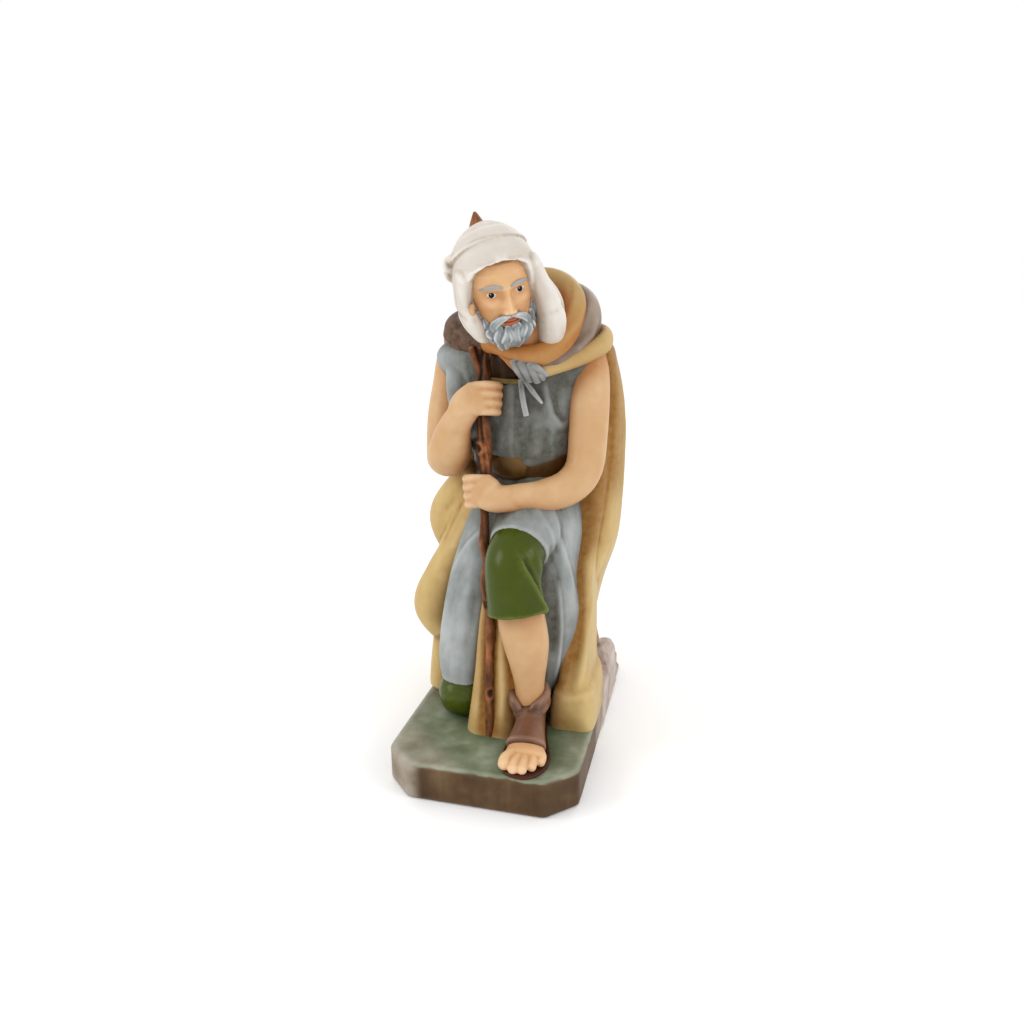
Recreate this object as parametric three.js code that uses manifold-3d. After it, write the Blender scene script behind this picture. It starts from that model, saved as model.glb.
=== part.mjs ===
// A painted nativity figure: an old shepherd kneeling on his right knee, with both hands on a
// gnarled staff, cast in one piece with its base, and the staff moulded apart and set through
// his fists. Millimetres, +Z up; the figure faces -Y and stands on z = 0, and the origin is
// the middle of the base's underside.
import * as THREE from 'three';
import { mergeVertices } from 'three/addons/utils/BufferGeometryUtils.js';
import Module from 'manifold-3d';

const wasm = await Module();
wasm.setup();

// Driving dimensions of the base.
const BASE_WIDTH = 75;
const BASE_DEPTH = 138;
const BASE_HEIGHT = 15;
const BASE_CORNER = 11;
const BASE_EDGE = 0.9;

// The figure's height from the top of the base to the crown of the headscarf. The tables of
// points below are drawn for a figure 194 mm high, and POSE scales them to this one.
const FIGURE_HEIGHT = 194;
const POSE = FIGURE_HEIGHT / 194;

// The staff: its thickness near the top and at the foot, how far its tip stands over the
// crown, how deep its foot sits in the base, and the clearance of the channel it passes through.
const STAFF_TOP_DIAMETER = 6.4;
const STAFF_FOOT_DIAMETER = 4;
const STAFF_OVER_CROWN = 4;
const STAFF_SOCKET = 1.2;
const STAFF_CLEARANCE = 0.3;

// The rough stone behind the figure's left side: its height over the base's top, its length and
// width at the foot, how far its middle lies in from the base's left edge and behind the base's
// middle, how far its wall stands proud of the base's side, and how far it slopes the base's
// rear corner inwards from its underside to its top.
const ROCK_HEIGHT = 13;
const ROCK_LENGTH = 78;
const ROCK_WIDTH = 30;
const ROCK_INSET = 11;
const ROCK_BEHIND = 16;
const ROCK_PROUD = 0.6;
const ROCK_SLOPE = 10;

const DEGREE = Math.PI / 180;

// How far the band of the headscarf slants, down to the figure's right.
const BAND_SLANT = -9 * DEGREE;

// Reads a table at t = 0 to 1 along its rows, every column smoothed by a Catmull-Rom curve.
function readRows(rows, t) {
  const at = Math.min(Math.max(t, 0), 1) * (rows.length - 1);
  const first = Math.min(Math.floor(at), rows.length - 2);
  const u = at - first;
  const row = (i) => rows[Math.min(Math.max(i, 0), rows.length - 1)];
  return rows[0].map((_, column) => {
    const [a, b, c, d] = [-1, 0, 1, 2].map((step) => row(first + step)[column]);
    return b + 0.5 * u * (c - a + u * (2 * a - 5 * b + 4 * c - d + u * (3 * (b - c) + d - a)));
  });
}

// The same for a table whose last row runs on into its first.
function readLoop(rows, t) {
  const count = rows.length;
  const at = (((t % 1) + 1) % 1) * count;
  const first = Math.floor(at);
  const u = at - first;
  return rows[0].map((_, column) => {
    const [a, b, c, d] = [count - 1, 0, 1, 2].map((step) => rows[(first + step) % count][column]);
    return b + 0.5 * u * (c - a + u * (2 * a - 5 * b + 4 * c - d + u * (3 * (b - c) + d - a)));
  });
}

// A solid from its corners and its triangles, turned the right way out.
function solidOf(corners, triangles) {
  let volume = 0;
  for (const [a, b, c] of triangles) {
    volume += corners[a].dot(new THREE.Vector3().crossVectors(corners[b], corners[c]));
  }
  const facing = volume < 0 ? triangles.map(([a, b, c]) => [a, c, b]) : triangles;
  return new wasm.Manifold(new wasm.Mesh({
    numProp: 3,
    vertProperties: new Float32Array(corners.flatMap((corner) => corner.toArray())),
    triVerts: new Uint32Array(facing.flat()),
  }));
}

// A solid from a three.js geometry.
function solidOfGeometry(geometry) {
  geometry.deleteAttribute('normal');
  geometry.deleteAttribute('uv');
  const merged = mergeVertices(geometry);
  const corners = [];
  for (let i = 0; i < merged.attributes.position.count; i += 1) {
    corners.push(new THREE.Vector3().fromBufferAttribute(merged.attributes.position, i));
  }
  const index = Array.from(merged.index.array);
  const triangles = [];
  for (let i = 0; i < index.length; i += 3) triangles.push(index.slice(i, i + 3));
  return solidOf(corners, triangles);
}

// One solid of many that overlap.
const joined = (solids) => solids.reduce((built, solid) => built.add(solid));

// A closed skin over rings of points. pointAt(along, around) gives a point for 0 to 1 along
// the rings and 0 to 1 round each; first and last close the ends, or the rings close on
// themselves when there is neither.
function skin(pointAt, rings, sides, first, last) {
  const looped = !first;
  const corners = [];
  for (let i = 0; i < rings; i += 1) {
    for (let j = 0; j < sides; j += 1) {
      corners.push(pointAt(looped ? i / rings : i / (rings - 1), j / sides));
    }
  }
  const triangles = [];
  const corner = (i, j) => (i % rings) * sides + (j % sides);
  for (let i = 0; i < (looped ? rings : rings - 1); i += 1) {
    for (let j = 0; j < sides; j += 1) {
      triangles.push([corner(i, j), corner(i, j + 1), corner(i + 1, j + 1)]);
      triangles.push([corner(i, j), corner(i + 1, j + 1), corner(i + 1, j)]);
    }
  }
  if (!looped) {
    corners.push(first, last);
    for (let j = 0; j < sides; j += 1) {
      triangles.push([corner(0, j + 1), corner(0, j), corners.length - 2]);
      triangles.push([corner(rings - 1, j), corner(rings - 1, j + 1), corners.length - 1]);
    }
  }
  return solidOf(corners, triangles);
}

// A sine or cosine bent so that the oval it draws grows squarer as `square` passes 2.
const squared = (value, square) => Math.sign(value) * Math.abs(value) ** (2 / square);

// A limb: a round-ended tube. Each row is x, y, z, half width, half depth, where the width
// lies along `across` as nearly as the tube allows. Its ends bulge by `dome` times its smaller
// half thickness, in `domeRings` steps. `square` above 2 flattens its faces, and `lobes` is how
// many fingers they are ridged into.
function limb(rows, {
  across = [1, 0, 0], rings = 9, sides = 10, dome = 0.9, domeRings = 0, square = 2, lobes = 0,
} = {}) {
  const point = (t) => new THREE.Vector3(...readRows(rows, t)).multiplyScalar(POSE);
  const widthways = new THREE.Vector3(...across);
  const step = 0.01;
  const frame = (t) => {
    const along = point(Math.min(t + step, 1)).sub(point(Math.max(t - step, 0))).normalize();
    const side = widthways.clone().addScaledVector(along, -widthways.dot(along)).normalize();
    return { along, side, up: new THREE.Vector3().crossVectors(along, side) };
  };
  const total = rings + 2 * domeRings;
  const place = (index, around) => {
    const inner = Math.min(Math.max(index - domeRings, 0), rings - 1);
    const t = inner / (rings - 1);
    const outside = index - domeRings - inner;
    const lean = (Math.abs(outside) / (domeRings + 1)) * 90 * DEGREE;
    const [, , , wide, deep] = readRows(rows, t);
    const { along, side, up } = frame(t);
    const turn = around * 2 * Math.PI;
    const size = Math.cos(lean) * POSE;
    const ridged = lobes ? 0.66 + 0.34 * Math.abs(Math.sin(lobes * turn)) : 1;
    return point(t)
      .addScaledVector(along, Math.sign(outside) * Math.sin(lean) * dome * Math.min(wide, deep) * POSE)
      .addScaledVector(side, squared(Math.cos(turn), square) * wide * size)
      .addScaledVector(up, squared(Math.sin(turn), square) * deep * ridged * size);
  };
  const tip = (t, sign) => {
    const [, , , wide, deep] = readRows(rows, t);
    return point(t).addScaledVector(frame(t).along, sign * dome * Math.min(wide, deep) * POSE);
  };
  const pointAt = (t, around) => place(Math.round(t * (total - 1)), around);
  return skin(pointAt, total, sides, tip(0, -1), tip(1, 1));
}

// How far folds stand out at an angle and a height. Each fold is its angle at the top, its
// angle at the bottom, its top, its bottom, its width in degrees and its depth.
function foldsAt(folds, angle, height) {
  let depth = 0;
  for (const [topAngle, bottomAngle, top, bottom, width, rise] of folds) {
    const down = (top - height) / (top - bottom);
    const middle = topAngle + (bottomAngle - topAngle) * down;
    const apart = ((angle - middle + 540) % 360) - 180;
    const fadeIn = Math.min(Math.max(down * 4 + 0.2, 0), 1);
    const fadeOut = Math.min(Math.max((1 - down) * 4 + 0.2, 0), 1);
    depth += rise * fadeIn * fadeOut * Math.exp(-((apart / width) ** 2));
  }
  return depth;
}

// Hanging cloth: level sections, one row each, as height, x, y, and how far it reaches to the
// left, right, front and back. `square` above 2 makes the sections squarer.
function drape(rows, { folds = [], square = 2.4, rings = 18, sides = 28 } = {}) {
  const place = (t, around) => {
    const [height, x, y, left, right, front, back] = readRows(rows, t);
    const turn = around * 2 * Math.PI;
    const [c, s] = [Math.cos(turn), Math.sin(turn)];
    const rise = 1 + foldsAt(folds, around * 360, height) / (0.5 * (left + right));
    return new THREE.Vector3(
      x + rise * squared(c, square) * (c > 0 ? right : left),
      y + rise * squared(s, square) * (s > 0 ? back : front),
      height,
    ).multiplyScalar(POSE);
  };
  const end = (t) => {
    const [height, x, y] = readRows(rows, t);
    return new THREE.Vector3(x, y, height).multiplyScalar(POSE);
  };
  return skin(place, rings, sides, end(0), end(1));
}

// A rolled collar: a closed loop of rows, each x, y, z, half thickness out from the neck, half
// thickness up.
function roll(rows, { rings = 13, sides = 5 } = {}) {
  const point = (t) => new THREE.Vector3(...readLoop(rows, t)).multiplyScalar(POSE);
  const place = (t, around) => {
    const [, , , out, up] = readLoop(rows, t);
    const along = point(t + 0.005).sub(point(t - 0.005)).normalize();
    const outward = new THREE.Vector3().crossVectors(along, new THREE.Vector3(0, 0, 1)).normalize();
    const upward = new THREE.Vector3().crossVectors(outward, along);
    const turn = around * 2 * Math.PI;
    return point(t)
      .addScaledVector(outward, Math.cos(turn) * out * POSE)
      .addScaledVector(upward, Math.sin(turn) * up * POSE);
  };
  return skin(place, rings, sides);
}

// The base: a block with its four corners cut back, a small bevel round its top and underside,
// and the rear corner on the figure's left sloped away under the stone.
function base() {
  const [x, y] = [BASE_WIDTH / 2 - BASE_EDGE, BASE_DEPTH / 2 - BASE_EDGE];
  const outline = new THREE.Shape([
    [x, -y + BASE_CORNER], [x, y - BASE_CORNER], [x - BASE_CORNER, y], [-x + BASE_CORNER, y],
    [-x, y - BASE_CORNER], [-x, -y + BASE_CORNER], [-x + BASE_CORNER, -y], [x - BASE_CORNER, -y],
  ].map(([across, deep]) => new THREE.Vector2(across, deep)));
  const block = new THREE.ExtrudeGeometry(outline, {
    depth: BASE_HEIGHT - 2 * BASE_EDGE,
    bevelThickness: BASE_EDGE,
    bevelSize: BASE_EDGE,
    bevelSegments: 1,
  });
  block.translate(0, 0, BASE_EDGE - BASE_HEIGHT);
  const cut = new THREE.BoxGeometry(BASE_DEPTH, BASE_DEPTH, BASE_DEPTH);
  cut.translate(0, BASE_DEPTH / 2, 0);
  cut.rotateX(Math.atan(ROCK_SLOPE / BASE_HEIGHT));
  cut.rotateZ(-45 * DEGREE);
  cut.translate((BASE_WIDTH - BASE_CORNER) / 2, (BASE_DEPTH - BASE_CORNER) / 2, -BASE_HEIGHT);
  return solidOfGeometry(block).subtract(solidOfGeometry(cut));
}

// The stone: a low lump over the base's left-hand side, down to just above the underside.
function rock() {
  const sunk = BASE_HEIGHT - BASE_EDGE;
  const middle = new THREE.Vector3(BASE_WIDTH / 2 - ROCK_INSET, ROCK_BEHIND, -sunk);
  const place = (t, around) => {
    const turn = around * 2 * Math.PI;
    const climb = t * 80 * DEGREE;
    const lumps = 1 + 0.09 * Math.sin(3 * turn + 1) + 0.06 * Math.sin(5 * turn + 7 * t);
    const reach = Math.cos(climb) ** 0.6 * lumps;
    return new THREE.Vector3(
      Math.min(middle.x + (ROCK_WIDTH / 2) * Math.cos(turn) * reach, BASE_WIDTH / 2 + ROCK_PROUD),
      middle.y + (ROCK_LENGTH / 2) * Math.sin(turn) * reach,
      middle.z + (ROCK_HEIGHT + sunk) * Math.sin(climb) * (1 + 0.14 * Math.sin(4 * turn)),
    );
  };
  return skin(place, 5, 12, middle, new THREE.Vector3(middle.x, middle.y, ROCK_HEIGHT));
}

// The long cloak, hanging from the shoulders to the base, with the three lobes of its edge that
// swing out beside the kneeling leg, and the pleat on the other side that breaks on the base.
function cloak() {
  const body = drape([
    [-2, 0, 16, 35.5, 32, 37, 44],
    [4, 0, 16, 35.5, 31.5, 36, 44],
    [14, -1, 16, 34.5, 30, 31, 43],
    [28, -1, 15, 34.5, 29, 25, 41],
    [46, -2, 14, 34.5, 30.5, 18, 38],
    [66, -1, 13, 34, 36, 15, 35],
    [85, 0, 13, 29, 37.8, 12, 32],
    [105, 0, 13, 27, 38.4, 8, 29],
    [125, 0, 13, 28, 38.2, 6, 27],
    [140, 0, 13, 29, 36, 5, 25],
    [149, 0, 12, 24, 33, 5, 20],
    [155, 0, 12, 14, 20, 5, 14],
  ], {
    rings: 12,
    sides: 28,
    square: 2.8,
    folds: [
      [14, 0, 140, -4, 7, 2],
      [38, 32, 150, -4, 8, 2.4],
      [62, 60, 150, -4, 8, 2.2],
      [84, 90, 150, -4, 8, 2.6],
      [106, 118, 150, -4, 8, 2.2],
      [128, 142, 150, -4, 8, 2.4],
      [150, 168, 130, -4, 8, 2.4],
      [-22, -36, 60, -4, 7, 2.2],
    ],
  });
  const lobes = [
    [[-19, 2, 96, 6, 8], [-27, 5, 84, 9, 9], [-31, 7, 70, 10.5, 9.5], [-31, 7, 58, 9, 9]],
    [
      [-17, -2, 84, 6, 8], [-26, -1, 66, 8, 9.5], [-34, -2, 50, 9, 10.5], [-36.5, -4, 37, 9, 11],
      [-31, -5, 27, 7, 9],
    ],
    [[-27, -1, 46, 7, 9], [-30.5, -2, 28, 6.5, 9], [-30.5, -3, 10, 7.5, 9.5], [-30, -4, 0, 7.5, 9.5]],
  ];
  const hem = drape([
    [-2, 29, -16, 8.5, 8.6, 15.4, 24], [7, 29, -16, 8, 8.2, 15, 24], [13, 28.6, -15, 7.4, 8, 13.6, 24],
    [17, 28.4, -13, 6.6, 7.6, 11, 23], [30, 28.2, -8, 6, 7.2, 9.6, 21], [48, 28, -1, 5.6, 6.6, 8.6, 18],
    [72, 26.5, 8, 5, 5.6, 8, 10],
  ], { rings: 7, sides: 10, square: 3.4 });
  return joined([body, hem, ...lobes.map((rows) => limb(rows, { rings: 5, sides: 8, dome: 0.3 }))]);
}

// The end of the cloak that comes forward between the legs and carries the staff and the shin.
function innerFold() {
  return drape([
    [-2, 0, -27, 13, 9, 17, 14],
    [8, -0.5, -26, 11.5, 9, 15, 13],
    [22, -1, -24.5, 9.8, 9, 12.5, 13],
    [36, -2, -23, 8.2, 8.5, 10, 12],
    [50, -2.5, -21, 6.6, 8, 7, 12],
    [60, -2, -18, 4, 6, 4, 10],
  ], { rings: 6, sides: 14, square: 4 });
}

// The sleeveless tunic over the chest, bloused over the belt.
function tunicBody() {
  return drape([
    [76, 0, 10, 24, 26, 17, 18],
    [90, 0, 9, 21, 23, 17, 17],
    [99, 0, 8, 19.5, 21.5, 16.5, 15],
    [103.4, 0, 8, 20, 21.6, 17, 15],
    [106.4, 0, 7.5, 22, 23, 18.2, 15.4],
    [120, -1, 7, 24, 24, 16, 15],
    [133, -2, 7, 26.5, 27.5, 14.5, 14],
    [143, -2.5, 6.5, 34.5, 33, 14, 13],
    [149, -3, 7, 32.5, 30, 12, 12],
    [154, -2, 7, 19, 17, 8, 10],
  ], {
    rings: 10,
    sides: 19,
    folds: [
      [262, 266, 138, 102, 7, 1.4],
      [284, 290, 134, 102, 7, 1.3],
      [306, 300, 140, 102, 8, 1.2],
      [238, 240, 134, 100, 8, 1.2],
    ],
  });
}

// The tunic's skirt over the kneeling leg.
function skirtRight() {
  return drape([
    [15, -16, -10, 12, 8, 23, 26],
    [24, -16, -9, 13, 8.5, 22.5, 26],
    [38, -15, -7, 13.6, 9, 21, 26],
    [56, -13, -4, 13.2, 10, 18.5, 24],
    [75, -9, 2, 13, 13, 18, 18],
    [92, -5, 6, 15, 17, 16, 14],
    [101, -2, 7, 17, 17, 14, 12],
  ], {
    rings: 8,
    sides: 17,
    square: 2.8,
    folds: [[250, 252, 92, 12, 12, 1.4], [215, 222, 80, 12, 12, 1.6], [282, 284, 80, 12, 9, 1.2]],
  });
}

// The tunic's skirt over the raised leg, and the curtain of it that falls outside the shin.
function skirtLeft() {
  const thigh = limb([
    [6, 22, 84, 18, 17], [8, 4, 85, 16.5, 16], [8.2, -12, 81, 14.6, 14.2], [7.6, -24, 75.5, 12.9, 13.2],
  ], { rings: 4, sides: 11, dome: 0.25 });
  const curtain = drape([
    [7, 14.5, -16, 5.5, 3.5, 9, 8],
    [14, 15, -12, 7, 6.5, 12, 10],
    [28, 15.2, -8, 9, 11.5, 15, 14],
    [42, 15, -7, 10, 13, 16, 14],
    [58, 14.5, -5, 11, 11.5, 18, 14],
    [76, 12.5, -4, 12, 14.8, 17, 16],
    [92, 9, -1, 14, 16, 15, 16],
  ], { rings: 8, sides: 15, folds: [[300, 310, 88, 8, 10, 1.4], [326, 332, 88, 8, 10, 1.4]] });
  return joined([thigh, curtain]);
}

// The breeches at the raised knee, flaring to a hem below it, and at the knee on the ground.
function breeches() {
  const raised = limb([
    [7.6, -10, 75, 10.5, 10.5], [7.2, -23, 74.2, 11.3, 11.4], [6.8, -31.5, 69.5, 11.4, 11.6],
    [7.2, -34.5, 61, 11.2, 11.4], [8.2, -35, 54, 11.6, 11.4],
  ], { rings: 7, sides: 12, dome: 0.1 });
  const grounded = limb([
    [-17, 4, 9, 10.5, 10.5], [-17.5, -10, 9.5, 11, 11], [-18, -24, 8.6, 11, 9.6],
  ], { rings: 4, sides: 10, domeRings: 2, dome: 1.1, square: 2.4 });
  return joined([raised, grounded]);
}

// The bare shin.
function shin() {
  return limb([
    [8.5, -30, 60, 8.6, 9], [9.6, -33, 47, 9.4, 9.5], [11, -33.8, 38, 9, 9], [12, -34, 30, 7.6, 7.8],
    [12.6, -34.2, 20, 5.9, 6.4], [13, -34, 8, 6, 7],
  ], { rings: 7, sides: 10 });
}

// The foot in its sandal: sole, upper, folded cuff at the ankle, and bare toes.
function foot() {
  const upper = limb([
    [12, -27, 5, 6, 5.5], [13, -36, 7.5, 6.4, 7.4], [14.6, -46, 6, 6.8, 5.6], [16.2, -55, 4.2, 8, 4],
    [16.6, -60, 3.2, 8.2, 3.1],
  ], { rings: 5, sides: 9 });
  const sole = limb([
    [12, -26, 0.2, 6.4, 1.4], [13.5, -40, 0.2, 7.6, 1.4], [16.4, -57, 0.2, 9.2, 1.4],
    [15.6, -65.5, 0.2, 6, 1.4],
  ], { rings: 5, sides: 8, dome: 2.2 });
  const cuff = limb([
    [12.3, -34, 14.5, 7.6, 8.2], [12.3, -34, 19, 8.6, 9],
  ], { rings: 2, sides: 9, dome: 0.3 });
  const tips = [[10.4, -65, 2.5], [14, -66.6, 2.1], [17.2, -66.2, 2], [20.2, -63.6, 1.9], [22.8, -59.8, 1.8]];
  const toes = tips.map(([x, y, radius]) => limb([
    [x * 0.5 + 8.2, y + 7, 3.4, radius, radius], [x, y, radius + 0.8, radius, radius],
  ], { rings: 2, sides: 6, domeRings: 1 }));
  return joined([upper, sole, cuff, ...toes]);
}

// Both bare arms, from the shoulder over the elbow to the wrist.
function arms() {
  const right = limb([
    [-28.5, 7, 143, 7.5, 8], [-30.5, 4, 133, 8, 8.4], [-31, -1, 118, 7.9, 8.2], [-28.5, -7, 104.5, 8.4, 8.2],
    [-25, -12, 108, 8.8, 7.8], [-23.2, -15.5, 116, 7.4, 6.6], [-20.6, -16.8, 123.5, 5, 4.8],
  ], { rings: 10, sides: 9 });
  const left = limb([
    [27, 7, 139, 7.5, 8], [28, 2, 129, 8.4, 8.8], [28.6, -2, 115, 8.2, 8.4], [28.6, -6, 100, 7.9, 8.2],
    [23.5, -12, 93.5, 7.6, 7.4], [15, -17, 92.5, 6.6, 6.2], [5, -22, 93.6, 4.8, 5.4],
  ], { rings: 10, sides: 9 });
  return joined([right, left]);
}

// Where the middle of the staff runs: its foot stands on the base before the figure, and its
// top leans back and to the figure's right, behind the head.
const STAFF_FOOT = new THREE.Vector3(-1.9, -42.4, 0);
const STAFF_TOP = new THREE.Vector3(-18, 6, 194);
const STAFF_AXIS = STAFF_TOP.clone().sub(STAFF_FOOT).normalize();
const staffAt = (height) => STAFF_FOOT.clone().lerp(STAFF_TOP, height / STAFF_TOP.z);

// A fist closed round the staff at a height. `bend` is the side, -1 or 1 along x, where the
// fingers turn round behind the staff, and the wrist is on the other side.
function fist(height, bend, wrist) {
  const outward = new THREE.Vector3(0, -1, 0).addScaledVector(STAFF_AXIS, STAFF_AXIS.y).normalize();
  const sideways = new THREE.Vector3().crossVectors(STAFF_AXIS, outward).normalize().multiplyScalar(bend);
  const spot = (out, across, up) => staffAt(height).addScaledVector(outward, out)
    .addScaledVector(sideways, across).addScaledVector(STAFF_AXIS, up).toArray();
  const around = STAFF_AXIS.toArray();
  const palm = limb([
    [...wrist, 5, 4.4], [...spot(4.8, -6, -0.6), 6.6, 4.2], [...spot(5.2, -1.5, 0), 6.8, 3.2],
    [...spot(5.4, 2, 0.2), 6.2, 2.2],
  ], { rings: 4, sides: 8, across: around });
  const thumb = limb([
    [...spot(2, -7.5, -3), 2.6, 2.6], [...spot(-2.5, -5.8, 2), 2.1, 2.1], [...spot(-4.6, -2, 6), 1.8, 1.8],
  ], { rings: 3, sides: 5, domeRings: 1 });
  const fingers = limb([
    [...spot(5, -2, 0), 6.6, 2.4], [...spot(5.3, 2.4, 0), 6.9, 2.4], [...spot(2.2, 5.3, 0), 6.9, 2.4],
    [...spot(-3.2, 4.4, 0), 6.6, 2.3], [...spot(-4.6, 0, 0), 6, 2],
  ], { rings: 6, sides: 16, across: around, square: 4, lobes: 4 });
  return joined([palm, thumb, fingers]);
}

function hands() {
  return joined([fist(127.8, 1, [-20.6, -16.8, 123.8]), fist(93.4, -1, [3.6, -22.6, 93.8])]);
}

// How far the staff strays to the figure's left of its straight line: height and distance. It
// keeps the first and last distances beyond them.
const STAFF_BENDS = [
  [0, 0.3], [25, 0.9], [43, 1.3], [51, 0.9], [58, 0], [66, 0.3], [74, -0.6], [84, 0.2], [100, 0.5],
  [140, 0.7], [150, 0.9], [194, 0],
];

function staffBend(height) {
  const next = STAFF_BENDS.findIndex(([level]) => level >= height);
  if (next <= 0) return STAFF_BENDS.at(next)[1];
  const [[low, from], [high, to]] = [STAFF_BENDS[next - 1], STAFF_BENDS[next]];
  return from + (to - from) * ((height - low) / (high - low));
}

// The staff: a crooked, gnarled stick, thinner from the lower fist to the foot, its top cut on a
// slant that leaves the point on the figure's right. The channel for it in the figure is the
// same stick grown by the clearance, all round and at both ends.
function staff(growth = 0) {
  const foot = STAFF_CLEARANCE - STAFF_SOCKET;
  const length = FIGURE_HEIGHT + STAFF_OVER_CROWN - foot;
  const slantStart = 0.975;
  const middle = (t) => {
    const slant = Math.max(0, (t - slantStart) / (1 - slantStart));
    const past = growth * (Math.sign(t - 0.5) * (t === 0 || t === 1));
    const height = (foot + length * t) / POSE;
    return staffAt(height).add(new THREE.Vector3(staffBend(height), 0, 0)).multiplyScalar(POSE)
      .add(new THREE.Vector3(-0.2 * slant * STAFF_TOP_DIAMETER, 0, past));
  };
  const place = (t, around) => {
    const turn = around * 2 * Math.PI;
    const slant = Math.max(0, (t - slantStart) / (1 - slantStart));
    const grown = 0.3 * t + 0.7 * THREE.MathUtils.smoothstep(t, 0.44, 0.54);
    const thick = (STAFF_FOOT_DIAMETER + (STAFF_TOP_DIAMETER - STAFF_FOOT_DIAMETER) * grown) / 2;
    const gnarled = 1 + 0.12 * Math.sin(38 * t + turn) + 0.09 * Math.sin(68 * t + 2 * turn);
    const radius = thick * gnarled * (1 - 0.75 * slant ** 1.3) + growth;
    return middle(t).add(new THREE.Vector3(radius * Math.cos(turn), radius * Math.sin(turn), 0));
  };
  const closerAtTop = (t, around) => place(1 - (1 - t) ** 1.15, around);
  return skin(closerAtTop, 34, 7, middle(0), middle(1));
}

// The head's own frame: bowed, turned to the figure's left and tipped to its right.
const HEAD_MIDDLE = new THREE.Vector3(-4.6, -15, 170.5);
const HEAD_TURN = new THREE.Matrix4()
  .makeRotationZ(32 * DEGREE)
  .multiply(new THREE.Matrix4().makeRotationX(18 * DEGREE))
  .multiply(new THREE.Matrix4().makeRotationY(-13 * DEGREE))
  .setPosition(HEAD_MIDDLE.clone().multiplyScalar(POSE));

// A mass shaped in the head's frame, set in its place.
const onHead = (solid) => solid.transform(HEAD_TURN.elements);

function head() {
  const skull = drape([
    [-17.5, 0, -9, 4, 4, 4, 5], [-15.5, 0, -7.5, 6.8, 6.8, 6.6, 9], [-11, 0, -4, 9.2, 9.2, 9.4, 11],
    [-6, 0, -1, 10.8, 10.8, 12, 13], [0, 0, 1, 12, 12, 14, 15.5], [6, 0, 2, 12.6, 12.6, 15, 16],
    [12, 0, 2, 11.6, 11.6, 13.4, 15], [17, 0, 2, 6, 6, 7, 8],
  ], { rings: 7, sides: 12, square: 2.1 });
  const nose = limb([
    [0, -13.6, 3, 1.3, 1.2], [0, -15.4, -1.5, 1.5, 1.6], [0, -16.6, -5.6, 2.2, 1.9],
  ], { rings: 3, sides: 7 });
  const brow = limb([
    [-8.6, -10.2, 3.4, 1, 1.2], [-4, -13.6, 4.3, 1, 1.4], [0, -14, 3.6, 1, 1.2], [4, -13.6, 4.3, 1, 1.4],
    [8.6, -10.2, 3.4, 1, 1.2],
  ], { rings: 5, sides: 4, across: [0, 1, 0] });
  const neck = limb([
    [0, 2, 138, 9, 9], [-1, -5, 152, 8.5, 8.5], [-2, -10, 163, 8.5, 8.5],
  ], { rings: 3, sides: 8 });
  return joined([onHead(joined([skull, nose, brow])), neck]);
}

function beard() {
  const full = drape([
    [-18.4, 0, -13, 3, 3, 2.6, 3], [-16.6, 0, -12, 6, 6, 4.5, 5], [-13.4, 0, -9.5, 8.8, 8.8, 7, 7.5],
    [-9.5, 0, -7, 10.4, 10.4, 8.2, 8], [-5, 0, -5, 11.4, 11.4, 6.5, 6], [-1, 0, -4, 12, 12, 4, 4],
  ], { rings: 5, sides: 12, square: 2.2 });
  const moustache = [-1, 1].map((side) => limb([
    [0.6 * side, -16, -8.4, 1.4, 1.2], [3.6 * side, -15.2, -9.2, 1.7, 1.4],
    [6.6 * side, -12.8, -11.6, 1.4, 1.4], [8.2 * side, -10.6, -14.6, 0.8, 0.8],
  ], { rings: 4, sides: 5 }));
  const ends = [[-5.6, -12.2, -18.4], [-2, -14.4, -20.8], [2.4, -14.4, -20.2], [5.8, -12, -18]];
  const locks = ends.map(([x, y, bottom]) => limb([
    [x * 0.9, y - 1, -11, 1.8, 1.5], [x, y - 1.4, -15, 2, 1.6], [x * 0.8, y - 0.6, bottom, 1.1, 1.1],
  ], { rings: 3, sides: 5 }));
  return onHead(joined([full, ...moustache, ...locks]));
}

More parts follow.
